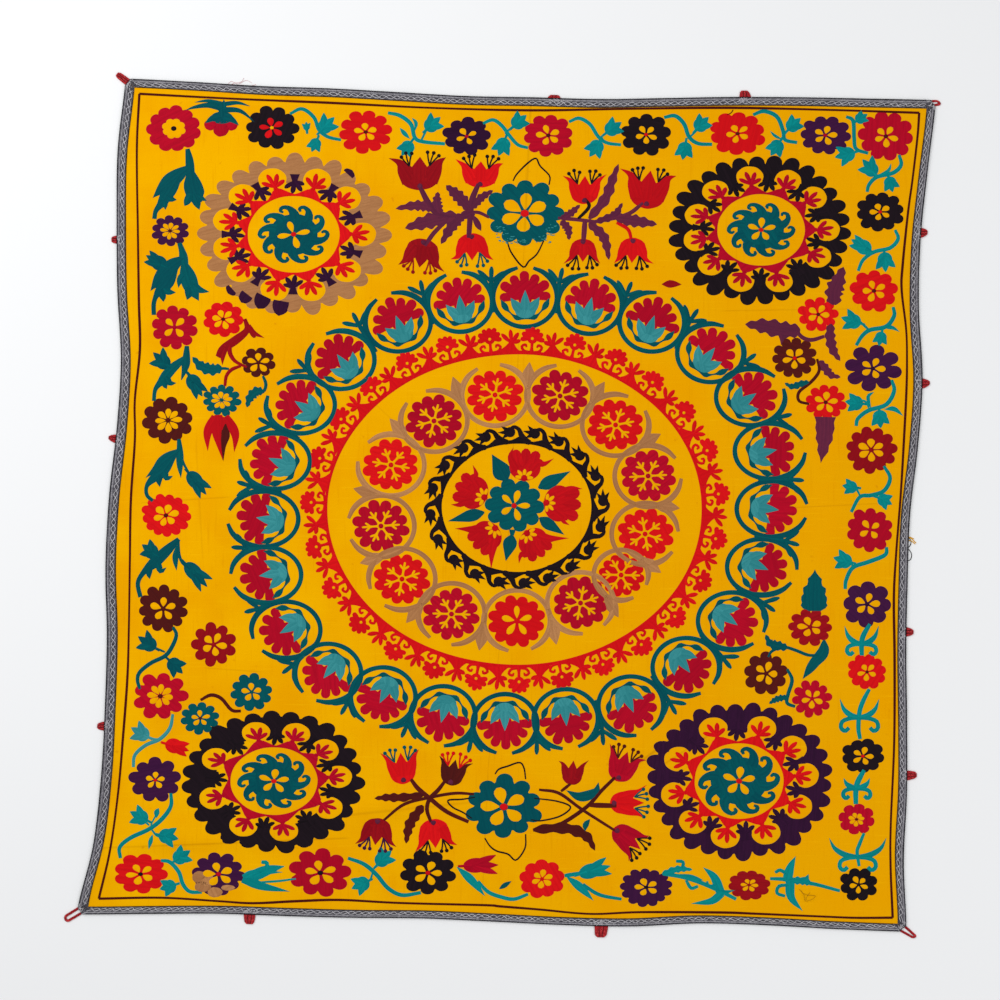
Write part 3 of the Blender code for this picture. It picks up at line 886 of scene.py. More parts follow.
FRIEZE = spot(515.0, 509.5)
FRIEZE_OUTLINE = oval(188.5, 156.5, 0.003)
FRIEZE_PAIRS = 27
polar("scarlet", FRIEZE, oval(190.9, 158.9, 0.003), oval(187.0, 155.0, 0.003), segments=280)
for number, angle in enumerate(spaced(FRIEZE_OUTLINE, 2 * FRIEZE_PAIRS, 84.0)):
    foot = on_rim(FRIEZE, FRIEZE_OUTLINE, angle, random.choice((-1.0, 1.0)), 1.06)
    if number % 2:
        stroke("scarlet", foot, [(-1.0, 0.5), (-0.5, 5.0), (0.5, 11.5)], (12.5, 9.0, 4.8, 1.7))
        rays("scarlet", within(foot, 0.4, 9.5), 0.0, 2.1,
             ((-72.0, 9.0), (-34.0, 12.0), (4.0, 13.0), (46.0, 13.0)))
        continue
    stroke("scarlet", foot, [(0.0, 0.0), (0.0, 11.0)], (3.0, 1.5, 1.6))
    for side in (-1.0, 1.0):
        stroke("scarlet", foot, [(side * 1.0, 1.5), (side * 7.0, 2.5), (side * 9.5, 6.5), (side * 6.0, 8.5),
                                   (side * 5.0, 6.0)], (1.4, 1.4, 1.4, 1.3, 0.9))
    flower = within(foot, 0.0, 14.5)
    polar("scarlet", flower, fan(11.4, 7, 112.0, 5.0), segments=84)
    polar("ground", flower, even(1.5), level=1, segments=8)
sew_down("frieze")


# The outer chain: twenty-four teal rings, each holding a crimson carnation on a pale calyx
# between two leafy twigs. A teal sprig stands at each meeting, and the rings open outwards.
OUTER_CHAIN = (
    # photo x and y of the ring
    (525, 297), (590, 304), (652, 322), (710.5, 353), (750.5, 397), (770, 451), (772, 509), (762, 567),
    (732, 621), (686, 667), (631, 706), (566, 719), (505, 724), (443, 716), (383, 697), (328, 673),
    (286, 630), (266, 575), (263, 519), (275, 461), (300.5, 405), (341, 360), (398, 322), (460, 302),
)


for place, turn, meeting, out in neighbours(OUTER_CHAIN):
    lean = turn + random.uniform(-5.0, 5.0)
    plane, upright = spot(*place), spot(*place, lean - 90.0)
    sideways = math.cos(math.radians(turn)) ** 2
    open_ring("teal", plane, 32.2 + 3.2 * sideways, 30.0 - 2.2 * sideways, 2.55, turn, 14.0)
    polar("crimson", within(upright, 0.0, -1.5), fan(27.4, 7, 100.0, 7.0), segments=126)
    polar("pale_teal", within(upright, 0.0, -13.5), oval(10.8, 8.4), level=1, segments=32)
    stroke("pale_teal", upright, [(0.0, -13.0), (0.0, -4.0), (0.4, 7.0)], (7.4, 6.0, 3.6, 0.0), 1)
    for side in (-1.0, 1.0):
        stroke("pale_teal", upright, [(side * 4.0, -13.0), (side * 9.0, -8.5), (side * 14.5, -0.5)],
               (5.4, 5.4, 3.8, 0.0), 1)
        stroke("teal", upright, [(0.0, -21.5), (side * 9.0, -20.5), (side * 16.5, -14.0), (side * 21.0, -8.0),
                                 (side * 24.0, -2.0)],
               (0.9, 1.5, 2.8, 1.0, 1.0, 2.8, 3.2, 1.9, 0.3), steps=18)
    sprig = spot(*meeting, out - 90.0)
    stroke("teal", sprig, [(0.0, -13.0), (0.0, 2.0), (0.0, 12.0), (0.0, 21.0)], (1.4, 2.5, 2.7, 2.2))
    rays("teal", within(sprig, 0.0, 18.0), -2.0, 2.3, ((-58.0, 17.0), (-6.0, 15.0), (46.0, 17.5)),
         widths=(0.8, 0.9, 1.0, 1.1, 1.0, 0.4))
sew_down("outer_chain")


# The corner roundels: a scalloped wreath with bare round pockets, a red star ring whose points
# end in sprigs inside them, and a teal swirl. One is worked in an undyed tan thread.
ROUNDELS = (
    # photo x and y, half width and height, lobes and their notch, wreath, sprigs between, star ring,
    # bare petals and size of the swirl, the turn of each pocket in degrees
    (293.7, 234.4, 97.0, 81.0, 28, 0.16, "tan", "aubergine", "scarlet", 4, 1.0,
     (0, 39, 70, 108, 138, 166, 194, 219, 254, 285, 321)),
    (761.0, 230.0, 92.5, 75.6, 30, 0.14, "black", "black", "crimson", 5, 1.0,
     (0, 37, 66, 100, 134, 164, 191, 220, 252, 286, 330)),
    (274.0, 781.0, 92.0, 71.5, 27, 0.14, "black", "black", "crimson", 5, 1.08,
     (5, 38, 70, 106, 154, 200, 242, 279, 328)),
    (739.0, 781.0, 94.0, 80.0, 30, 0.14, "aubergine", "aubergine", "scarlet", 5, 1.18,
     (6, 36, 70, 113, 157, 194, 226, 258, 294, 333)),
)
SWIRL_HOOKS = 10
LEFTOVER_LOBES = (
    # photo x and y, half width, half depth: aubergine left where the tan thread took over
    (230.2, 291.3, 6.9, 3.2), (244.4, 298.5, 8.0, 5.2), (261.1, 302.4, 9.8, 7.2), (280.0, 308.5, 9.8, 7.6),
    (350.4, 172.6, 6.8, 3.0),
)


def roundel(photo_x, photo_y, across, up, lobes, notch, wreath, sprigs, star, bare, swirl_size, turns):
    plane = spot(photo_x, photo_y, 0.0, up / across)
    turns = [math.radians(turn) for turn in turns]
    following = turns[1:] + [turns[0] + math.tau]
    polar(wreath, plane, lobed(across, lobes, notch, 4.0, 0.03), even(0.63 * across), segments=12 * lobes)

    def star_rim(angle):
        share = np.interp((angle - turns[0]) % math.tau + turns[0], turns + following[-1:],
                          range(len(turns) + 1))
        return across * (0.497 + 0.125 * abs(2.0 * (share % 1.0) - 1.0) ** 1.4)

    polar(star, plane, star_rim, even(0.472 * across), level=2, segments=16 * len(turns))
    size = across / 92.0
    wide = min(15.0, 156.0 / len(turns))
    for angle, after in zip(turns, following):
        reach = 0.71 * across
        pocket = within(plane, reach * math.cos(angle), reach * math.sin(angle),
                        math.degrees(angle) - 90.0, size)
        polar("ground", pocket, oval(wide, 13.6, 0.02), level=1, segments=40)
        rays(star, within(pocket, 0.0, -9.5), -3.0, 2.7,
             ((-62.0, 12.0), (-24.0, 15.5), (11.0, 16.5), (50.0, 14.0)), 3)
        between_turn = (angle + after) / 2
        reach = 0.66 * across
        pillar = within(plane, reach * math.cos(between_turn), reach * math.sin(between_turn),
                        math.degrees(between_turn) + 90.0, size)
        rays(sprigs, pillar, -1.0, 2.5, ((-48.0, 12.5), (-8.0, 14.5), (30.0, 13.5), (66.0, 10.0)), 2)
        stroke(sprigs, pillar, [(0.0, -7.5), (0.0, 0.0), (0.0, 3.0)], (5.6, 3.6, 2.8, 2.6), 2)
    swirl = within(plane, 0.0, 0.0, 0.0, size * swirl_size)
    polar("teal", swirl, oval(23.6, 23.6, 0.02), segments=48)
    for number in range(SWIRL_HOOKS):
        hook = on_rim(swirl, even(19.0), turns[0] + math.tau * number / SWIRL_HOOKS)
        stroke("teal", hook, [(6.5, -2.5), (7.4, 4.5), (4.6, 11.0), (-0.8, 13.2), (-3.6, 10.2), (-1.6, 7.6)],
               (6.4, 4.6, 2.9, 2.2, 1.9, 1.2))
    petals("ground", swirl, bare, 2.6, 16.0 if bare == 4 else 14.0, 3.6, 14.0)
    polar("scarlet", swirl, even(2.7), level=2, segments=12)


for row in ROUNDELS:
    roundel(*row)
for photo_x, photo_y, half_width, deep in LEFTOVER_LOBES:
    lobe = spot(photo_x, photo_y, bearing(ROUNDELS[0][:2], (photo_x, photo_y)) - 90.0)
    stroke("aubergine", lobe, [(0.0, -deep), (0.0, 0.0), (0.0, deep)],
           scaled((0.96, 1.0, 0.96, 0.84, 0.6, 0.0), half_width), 1)
sew_down("roundels")


# The rosettes of the borders and the field: one close patch each, with a few bare petals round a
# small heart of another thread.
ROSETTES = (
    # photo x and y, half width and height, lobes, notch, thread, bare petals, their reach, heart
    (272.0, 127.9, 27.0, 22.0, 10, 0.27, "black", 0, 11.0, "ground"),
    (365.8, 132.2, 28.0, 22.0, 10, 0.27, "scarlet", 5, 12.0, "brown"),
    (466.6, 136.5, 24.5, 19.6, 9, 0.30, "aubergine", 4, 11.0, "crimson"),
    (548.3, 135.6, 26.0, 21.8, 10, 0.27, "crimson", 5, 12.0, "brown"),
    (646.0, 134.8, 25.0, 21.5, 9, 0.32, "black", 5, 11.0, "scarlet"),
    (737.5, 133.8, 29.0, 22.3, 10, 0.24, "scarlet", 5, 12.0, "brown"),
    (825.0, 135.5, 26.3, 20.5, 10, 0.30, "violet", 5, 12.0, "crimson"),
    (885.7, 136.4, 28.0, 25.0, 10, 0.27, "crimson", 5, 12.0, "brown"),
    (880.0, 212.0, 25.0, 20.5, 10, 0.27, "black", 5, 11.0, "scarlet"),
    (873.8, 291.0, 24.6, 21.8, 9, 0.30, "scarlet", 5, 12.0, "brown"),
    (872.6, 368.5, 29.0, 24.0, 8, 0.41, "violet", 5, 12.6, "aubergine"),
    (871.0, 449.9, 26.8, 24.3, 11, 0.30, "claret", 6, 13.0, "claret"),
    (869.9, 529.7, 24.3, 22.8, 10, 0.30, "crimson", 4, 11.5, "crimson"),
    (866.9, 604.2, 25.3, 23.2, 8, 0.30, "violet", 5, 12.5, "aubergine"),
    (866.9, 671.9, 20.4, 18.5, 10, 0.24, "scarlet", 5, 9.5, "brown"),
    (862.7, 756.1, 21.7, 17.7, 9, 0.24, "black", 5, 11.0, "scarlet"),
    (856.4, 819.2, 18.9, 16.3, 8, 0.24, "crimson", 7, 8.0, "brown"),
    (858.5, 884.4, 19.6, 17.5, 8, 0.32, "black", 5, 9.5, "black"),
    (748.9, 884.8, 21.2, 15.2, 10, 0.22, "claret", 6, 9.0, "claret"),
    (646.3, 887.2, 26.0, 19.7, 13, 0.24, "violet", 5, 12.0, "black"),
    (542.0, 878.9, 22.8, 19.8, 9, 0.24, "scarlet", 6, 10.5, "scarlet"),
    (428.0, 872.7, 29.3, 22.9, 9, 0.35, "black", 5, 15.0, "scarlet"),
    (320.4, 872.7, 31.4, 24.8, 9, 0.35, "crimson", 5, 16.0, "black"),
    (218.6, 874.0, 27.4, 21.8, 10, 0.32, "violet", 5, 15.0, "crimson"),
    (140.7, 874.0, 27.9, 20.7, 9, 0.30, "scarlet", 5, 14.0, "black"),
    (155.4, 780.0, 26.7, 23.4, 9, 0.35, "violet", 5, 10.0, "scarlet"),
    (160.5, 696.1, 28.0, 24.0, 9, 0.41, "crimson", 8, 13.5, "brown"),
    (163.4, 608.9, 25.8, 24.5, 11, 0.30, "brown", 5, 13.0, "brown"),
    (166.1, 515.4, 24.8, 22.6, 13, 0.22, "scarlet", 6, 12.5, "brown"),
    (168.2, 420.3, 25.6, 23.2, 10, 0.27, "brown", 8, 13.4, "brown"),
    (174.6, 327.4, 24.0, 22.4, 10, 0.27, "crimson", 4, 12.0, "crimson"),
    (170.2, 231.0, 19.4, 15.7, 10, 0.30, "violet", 8, 10.0, "brown"),
    (223.3, 319.3, 21.2, 18.4, 9, 0.27, "scarlet", 6, 11.0, "brown"),
    (258.5, 362.8, 18.0, 15.7, 8, 0.32, "brown", 5, 11.5, "brown"),
    (221.7, 400.2, 19.6, 16.5, 11, 0.30, "teal", 8, 10.5, "teal"),
    (213.9, 644.5, 23.5, 22.7, 9, 0.41, "claret", 5, 12.5, "claret"),
    (251.8, 692.1, 22.0, 19.2, 10, 0.32, "teal", 5, 10.5, "teal"),
    (200.4, 718.2, 19.8, 16.3, 10, 0.32, "teal", 5, 9.5, "brown"),
    (818.1, 314.5, 21.0, 18.0, 9, 0.32, "scarlet", 5, 11.0, "brown"),
    (794.5, 358.2, 23.2, 21.0, 11, 0.27, "brown", 5, 12.0, "scarlet"),
    (825.5, 402.4, 21.0, 18.8, 10, 0.30, "scarlet", 5, 11.5, "brown"),
    (810.0, 627.0, 23.4, 19.4, 10, 0.32, "claret", 5, 12.5, "claret"),
    (766.0, 673.5, 23.0, 22.0, 9, 0.32, "brown", 5, 12.0, "brown"),
    (812.0, 698.5, 20.2, 19.0, 10, 0.35, "crimson", 5, 10.5, "crimson"),
    (524.7, 213.5, 40.0, 34.0, 12, 0.27, "teal", 6, 23.0, "scarlet"),
    (503.8, 806.7, 39.3, 32.4, 10, 0.35, "teal", 5, 22.5, "scarlet"),
)
for photo_x, photo_y, across, up, lobes, notch, thread, bare, reach, heart in ROSETTES:
    plane = spot(photo_x, photo_y, 0.0, up / across)
    polar(thread, plane, lobed(across, lobes, notch, random.uniform(0.0, 360.0)), segments=12 * lobes)
    width = min(0.31 * reach, 2.1 * reach / max(bare, 1))
    petals("ground", plane, bare, 0.2 * reach, reach, width, random.uniform(0.0, 360.0))
    polar(heart, plane, even(0.19 * reach), level=2, segments=12)
petals("scarlet", spot(272.0, 127.9, 0.0, 0.8), 5, 2.0, 13.0, 3.8, 30.0)
CORNER_ROSETTE = spot(173.9, 128.7, 0.0, 0.86)
polar("crimson", CORNER_ROSETTE, lobed(28.0, 11, 0.20), segments=132)
polar("ground", CORNER_ROSETTE, lobed(12.5, 8, 0.24), level=1, segments=64)
polar("black", CORNER_ROSETTE, even(3.0), level=2, segments=12)
for photo_x, photo_y, across, up in ((200.0, 877.0, 8.0, 6.4), (203.0, 886.5, 8.6, 5.6),
                                     (215.0, 892.0, 8.0, 5.2),
                                     (228.0, 887.6, 7.6, 3.0), (207.0, 880.0, 8.0, 7.0)):
    polar("tan", spot(photo_x, photo_y), oval(across, up, 0.04), level=1, segments=20)
sew_down("rosettes")


# The vines: turquoise along the borders with small three-pointed buds, darker and leafier on the
# left, and the loose leaves of the field. Each is a tapering line or leaf of laid thread.
STEM = (0.75, 1.0, 1.0, 0.95, 0.8)
THORN = (1.0, 1.0, 0.65, 0.0)
TOOTHED = (0.25, 0.9, 0.72, 1.15, 0.78, 1.15, 0.72, 0.95, 0.5, 0.5, 0.0)
TOOTHED_BACK = TOOTHED[::-1]
VINES = (
    # thread, form, half width, places along it by photo pixel
    ("turquoise", STEM, 2.0, ((290, 114), (302, 109), (314, 117.5), (319, 130), (328, 137), (341, 140))),
    ("turquoise", STEM, 2.2, ((388, 113), (400, 115.8), (411, 124.4), (415, 138), (424, 142), (445, 144))),
    ("turquoise", STEM, 2.0, ((483, 123.6), (493, 120), (502, 126), (510, 136.5), (518, 145), (528, 148))),
    ("turquoise", STEM, 2.0, ((569, 122), (579, 118.4), (590, 124.4), (598, 136.5), (607, 143), (621, 145))),
    ("turquoise", STEM, 2.2, ((664, 117.7), (675, 116), (684, 124), (689, 137), (698, 143.6), (712, 144.5))),
    ("turquoise", STEM, 2.2, ((753, 115), (764, 111.4), (777, 117), (783, 131), (785, 140), (797, 142.7))),
    ("turquoise", STEM, 2.1, ((846, 116.8), (853, 121), (854, 138), (856, 149), (868, 153.4))),
    ("turquoise", STEM, 2.2, ((899, 155), (901, 165), (893, 173), (877, 177), (869, 184.6), (867, 192))),
    ("turquoise", STEM, 2.1, ((895, 230), (898, 239), (890, 248), (874, 252), (863, 260), (858, 271))),
    ("turquoise", STEM, 2.3, ((893, 307), (894, 316), (886, 326.6), (870, 330), (862, 336), (856, 345.5))),
    ("turquoise", STEM, 2.3,
     ((891.5, 380), (894, 391), (886, 404.7), (868.6, 410.4), (858, 418.4), (856, 426))),
    ("turquoise", STEM, 2.2,
     ((883.7, 466), (890, 478), (884, 490.7), (871, 495.3), (859.6, 497), (851, 512))),
    ("turquoise", STEM, 2.3,
     ((886.5, 547), (884.8, 555), (868, 562), (852.7, 567.6), (846, 580), (845, 589))),
    ("turquoise", STEM, 2.8, ((869.7, 624), (863, 636), (861.5, 645), (861.7, 655.5))),
    ("turquoise", STEM, 2.5, ((869.2, 689), (863, 701), (859.4, 712), (858.3, 728), (860, 739))),
    ("turquoise", STEM, 3.0, ((864, 770), (858, 781), (855.7, 790), (855.7, 804))),
    ("turquoise", STEM, 2.0, ((864, 833), (859, 845), (857, 852), (859, 866))),
    ("turquoise", STEM, 2.1, ((770, 878.5), (782, 879), (790, 880.5), (813, 883.7), (839.8, 890.7))),
    ("turquoise", STEM, 2.3, ((663, 874), (682, 876.6), (700.6, 882.5), (719.4, 890.7), (736, 899))),
    ("turquoise", STEM, 2.0, ((583, 884), (594, 892), (604, 896), (621.5, 899))),
    ("turquoise", STEM, 2.1, ((478, 881), (488, 891.7), (501, 896.8), (514, 899), (528, 894))),
    ("turquoise", STEM, 2.3, ((348, 858), (364, 864), (376.4, 874.4), (388, 888), (402, 895), (421, 892.5))),
    ("turquoise", STEM, 1.2, ((261, 882), (278, 881), (296, 878.6))),
    ("turquoise", STEM, 2.2, ((161, 860.5), (170, 862), (179, 872), (183, 884), (190, 891.5), (202, 892))),
    ("turquoise", STEM, 2.3,
     ((171, 793), (171, 806), (162, 819), (149, 829), (131, 837.5), (120, 847), (120.5, 858))),
    ("pale_teal", STEM, 2.0, ((173, 714), (170, 728), (160, 739), (146, 745), (135, 755), (133.5, 767))),
    ("teal", STEM, 2.2, ((173, 627), (176.5, 635), (172, 647), (165, 656), (151, 663), (140, 672),
                         (137.6, 680), (140, 689))),
    ("turquoise", STEM, 1.2, ((372.9, 869.3), (379, 864), (386, 859))),
    ("turquoise", STEM, 1.2, ((372.5, 873), (370, 880), (364, 884))),
    ("turquoise", STEM, 1.2, ((505, 134), (510, 129), (519, 122))),
    ("turquoise", STEM, 1.2, ((600, 138), (606, 133), (612, 128))),
    ("turquoise", STEM, 1.2, ((690, 137), (696, 131), (702, 124))),
    ("turquoise", STEM, 1.2, ((784, 135), (788, 130), (793, 125))),
    ("turquoise", STEM, 1.2, ((421, 141), (425, 133), (429, 125))),
    ("turquoise", STEM, 1.4, ((868.6, 330), (864, 325.5), (859, 321))),
    ("turquoise", STEM, 1.2, ((868.6, 408), (866, 402), (860, 400))),
    ("turquoise", STEM, 1.2, ((860, 496), (857, 490), (854, 487))),
    ("turquoise", STEM, 1.2, ((852.5, 567), (851, 562), (848, 559.5))),
    ("turquoise", STEM, 1.2, ((872, 496), (879, 498), (883, 501))),
    ("turquoise", THORN, 2.2, ((887, 327), (893, 328), (899.5, 332))),
    ("turquoise", LEAF, 2.6, ((884, 409.5), (894, 409), (903, 416))),
    ("turquoise", LEAF, 2.0, ((871, 410), (868, 397), (874, 392))),
    ("turquoise", LEAF, 1.8, ((876.6, 176), (888, 171), (891, 163.5))),
    ("turquoise", LEAF, 1.6, ((783, 140), (775, 136), (770, 131))),
    ("turquoise", LEAF, 2.4, ((410, 139), (404, 133), (400, 128))),
    ("turquoise", LEAF, 2.0, ((415, 131), (416, 123), (412, 118))),
    ("turquoise", TOOTHED, 4.0, ((788, 880), (803, 881), (814, 884.5))),
    ("turquoise", THORN, 3.4, ((800, 881), (806, 879), (808.5, 874))),
    ("turquoise", THORN, 5.0, ((787, 880), (790, 868), (795.5, 856))),
    ("turquoise", STEM, 1.9, ((787, 874), (780, 870), (775, 872.5))),
    ("turquoise", THORN, 4.8, ((790, 881), (791, 897), (802.5, 911))),
    ("turquoise", STEM, 1.9, ((789, 885), (779, 886), (777, 893), (785, 896))),
    ("turquoise", TOOTHED, 3.6, ((662, 874), (678, 869), (692.5, 869.5))),
    ("turquoise", STEM, 1.9, ((682, 869), (683, 862), (676, 861))),
    ("turquoise", LEAF, 3.4, ((678, 874), (692, 878), (703, 880))),
    ("turquoise", STEM, 1.9, ((686, 880), (691, 888), (698, 886))),
    ("turquoise", THORN, 4.8, ((720, 891), (714, 877), (703, 867))),
    ("turquoise", STEM, 1.4, ((717, 884), (709, 886), (707, 881))),
    ("turquoise", THORN, 4.2, ((722, 893), (711, 901), (691, 903.5))),
    ("turquoise", THORN, 2.8, ((718, 889), (724, 892), (735, 890))),
    ("turquoise", LEAF, 4.4, ((566, 876), (580, 887), (593.5, 900.5))),
    ("turquoise", STEM, 2.2, ((564.5, 875.5), (572, 874.5), (580, 873))),
    ("turquoise", LEAF, 4.4, ((456.5, 866.5), (471, 879.6), (485, 896))),
    ("turquoise", THORN, 6.0, ((253, 876), (268, 870), (285, 866))),
    ("turquoise", THORN, 5.0, ((243, 878), (262, 886), (290, 891.5))),
    ("turquoise", THORN, 4.4, ((243.5, 878), (256, 873), (283, 872))),
    ("turquoise", STEM, 2.2, ((266, 871), (267, 863), (261.5, 862))),
    ("teal", LEAF, 2.6, ((499, 889), (505, 885), (511.5, 881))),
    ("turquoise", LEAF, 3.0, ((156.5, 818), (157, 812), (159, 808))),
    ("turquoise", STEM, 0.9, ((151, 825), (154, 819), (156.5, 814))),
    ("turquoise", STEM, 1.2, ((149.5, 825), (144, 820), (141, 816))),
    ("turquoise", STEM, 1.2, ((152, 829), (157, 835), (163, 837))),
    ("turquoise", LEAF, 2.4, ((153, 834), (151, 841), (149, 849))),
    ("pale_teal", STEM, 1.2, ((160, 739), (154, 739), (147, 736))),
    ("teal", STEM, 1.2, ((165, 652), (158, 649), (152, 646))),
    ("teal", STEM, 1.2, ((165, 656), (169, 660), (172, 663))),
    ("teal", (0.5, 0.8, 1.0, 1.0), 4.6, ((187.6, 149), (189.5, 160), (190.5, 172))),
    ("teal", (0.25, 0.9, 1.0, 0.8, 0.0), 10.0, ((191, 170), (193, 186), (197, 196), (202, 202))),
    ("teal", THORN, 3.6, ((196, 194), (201, 198), (207, 201))),
    ("teal", THORN, 4.2, ((191, 194), (187, 202), (184.5, 206))),
    ("teal", THORN, 5.0, ((194, 194), (197, 203), (199.5, 210))),
    ("teal", (0.3, 0.8, 1.0, 0.6, 0.0), 8.6, ((190, 167), (176, 177), (164, 187), (152.8, 198))),
    ("teal", (0.4, 1.0, 0.9, 0.5, 0.35, 0.35), 7.0,
     ((180, 175), (170, 190), (162, 203), (156, 211), (154.5, 219))),
    ("teal", THORN, 4.0, ((166, 195), (171, 199), (177, 200))),
    ("teal", THORN, 4.0, ((163, 198), (165, 204), (165.5, 210))),
    ("teal", (0.5, 0.7, 1.0, 1.0), 4.8, ((179.5, 243), (183, 254), (184, 264))),
    ("teal", (0.3, 0.9, 1.0, 0.75, 0.0), 8.8, ((184, 262), (188, 277), (192, 288), (199, 301))),
    ("teal", THORN, 4.0, ((192, 284), (200, 290), (209.5, 292))),
    ("teal", THORN, 5.0, ((190, 287), (189, 294), (187, 300))),
    ("teal", THORN, 4.0, ((185, 274), (180, 280), (178.5, 288))),
    ("teal", (0.3, 0.8, 1.0, 0.7, 0.0), 8.4, ((184, 258), (172, 266), (161, 277), (150.5, 291))),
    ("teal", (0.4, 1.0, 0.8, 0.4, 0.35, 0.35), 7.0,
     ((176, 268), (167, 283), (158, 293), (154, 303), (154, 315))),
    ("teal", THORN, 4.0, ((164, 288), (169, 292), (176, 292.5))),
    ("teal", THORN, 4.0, ((161, 290), (163, 297), (163.5, 302))),
    ("teal", (0.5, 0.8, 1.0, 0.6, 0.1), 4.6, ((187, 346), (186.5, 358), (185, 369), (181.5, 380))),
    ("teal", (0.5, 0.9, 1.0, 0.6, 0.4, 0.4), 5.4,
     ((185, 358), (172, 369), (162, 381), (155.5, 389.5), (154, 401))),
    ("teal", THORN, 3.6, ((166, 376), (170, 383), (176.5, 383))),
    ("teal", THORN, 3.6, ((164, 378), (165, 385), (167, 389))),
    ("teal", STEM, 1.3, ((185.5, 371), (188, 373), (191, 376))),
    ("teal", STEM, 1.4, ((176, 362), (171, 367), (166, 364))),
    ("teal", (0.5, 0.8, 1.0, 0.7, 0.0), 4.0, ((179, 439), (180, 452), (180, 465), (181, 478))),
    ("teal", STEM, 1.4, ((181, 455), (184, 464), (189, 473))),
    ("teal", (0.3, 0.9, 1.0, 0.5, 0.0), 6.4, ((180, 450), (167, 459), (157, 468), (145.5, 478))),
    ("teal", (0.5, 1.0, 0.8, 0.4, 0.35, 0.35), 5.8, ((174, 456), (164, 470), (154, 478), (147, 486),
                                                     (147, 495), (153, 501))),
    ("teal", THORN, 3.6, ((164, 471), (167, 478), (173, 476))),
    ("teal", THORN, 3.6, ((160, 475), (159, 481), (160, 487))),
    ("teal", (0.4, 0.9, 1.0, 0.5, 0.4, 0.4), 6.0, ((179, 539), (167, 550.5), (155, 562), (144, 572),
                                                   (138, 583), (140.5, 597))),
    ("teal", THORN, 3.4, ((158, 563), (161, 571), (166.5, 567.5))),
    ("teal", THORN, 3.4, ((150, 567), (149, 574), (150, 579))),
    ("teal", LEAF, 3.2, ((177, 545), (175.5, 558), (176.6, 570.5))),
    ("teal", STEM, 1.6, ((178.5, 540), (179, 553), (182, 562), (187, 567))),
    ("claret", (0.4, 0.7, 1.0, 0.9, 0.6), 4.6, ((245, 319), (247, 330), (236, 340), (223, 349), (218, 357))),
    ("claret", THORN, 3.0, ((248, 326), (254, 333), (264.5, 338))),
    ("claret", THORN, 2.6, ((250, 329), (254, 336), (256, 337))),
    ("claret", THORN, 3.4, ((226, 345), (223, 355), (222.5, 365))),
    ("claret", (1.0, 1.0, 0.8, 0.6, 0.5), 2.4,
     ((230, 343), (230, 353), (235, 361), (243, 365.5), (247, 367))),
    ("claret", STEM, 1.9, ((241, 366), (232, 369.5), (226.5, 376), (225, 386))),
    ("teal", TOOTHED_BACK, 6.0, ((192.5, 357), (201, 366), (212, 369.5), (222, 368))),
    ("teal", STEM, 1.5, ((216, 369.5), (223, 368.5), (229, 369))),
    ("teal", TOOTHED_BACK, 5.2, ((247, 407.5), (250, 398), (256, 392), (263, 391))),
    ("teal", STEM, 1.8, ((263, 376), (266, 384), (264, 391), (258, 394))),
    ("madder", (0.5, 1.0, 0.9, 0.5, 0.0), 8.0, ((218.4, 415), (219, 428), (220.5, 442), (223, 460))),
    ("madder", (0.9, 1.0, 0.9, 0.5, 0.0), 5.2, ((216, 417), (208, 432), (208, 451))),
    ("madder", (0.9, 1.0, 0.9, 0.5, 0.0), 5.2, ((225, 417), (235, 433), (234.5, 452))),
    ("madder", (1.0, 1.0, 0.8), 8.0, ((221, 417), (221, 430))),
    ("brown", (0.2, 1.0, 0.9, 0.5, 0.0), 7.0, ((226, 424), (223, 436), (222, 446), (223.5, 461))),
    ("brown", STEM, 1.9, ((200.7, 700), (211, 695), (221.4, 698.4), (231.7, 710), (241, 711))),
    ("plum", TOOTHED, 9.0, ((834, 305), (834, 292), (838, 281), (843.5, 267))),
    ("plum", TOOTHED_BACK, 8.6, ((745, 324.3), (763, 326), (783, 330), (800, 331))),
    ("plum", STEM, 2.2, ((796, 331), (803, 338), (812, 340), (824, 336.5))),
    ("plum", THORN, 3.0, ((781, 334), (782, 339), (781, 345))),
    ("plum", TOOTHED, 5.4, ((830.7, 324), (830, 337), (833, 350), (840, 361))),
    ("plum", TOOTHED, 4.4, ((819, 361), (825, 368), (831, 375), (840.5, 377.3))),
    ("brown", STEM, 1.7, ((817, 359), (819, 371), (811, 382), (799, 392), (799, 401), (808.9, 404))),
    ("teal", TOOTHED_BACK, 3.6, ((784.5, 383), (792, 386.5), (801, 384), (809, 382.5))),
    ("plum", (1.0, 0.82, 0.9, 0.74, 0.8, 0.5, 0.52, 0.2, 0.0), 11.5,
     ((825, 417), (824.5, 432), (823, 447), (820.5, 463))),
    ("teal", (0.5, 1.0, 0.92, 1.0, 0.8, 0.9, 0.5, 0.55, 0.2, 0.0), 14.0,
     ((814, 611), (814, 598), (814.5, 584), (814.7, 569.5))),
    ("teal", (0.2, 0.8, 1.0, 0.9, 0.7, 0.0), 6.4, ((824, 640), (823, 652), (814, 663), (802.5, 679))),
    ("teal", STEM, 1.7, ((819, 655), (808, 655), (795, 650), (783, 647), (772, 651), (768, 657))),
    ("teal", TOOTHED_BACK, 4.8, ((765.5, 634.5), (770, 643), (778, 645.5), (787, 648))),
    ("teal", STEM, 2.0, ((787, 669), (792, 680), (788, 694), (787, 703), (795, 706.5))),
    ("teal", TOOTHED_BACK, 3.4, ((769, 703.5), (777, 699), (787, 697))),
)
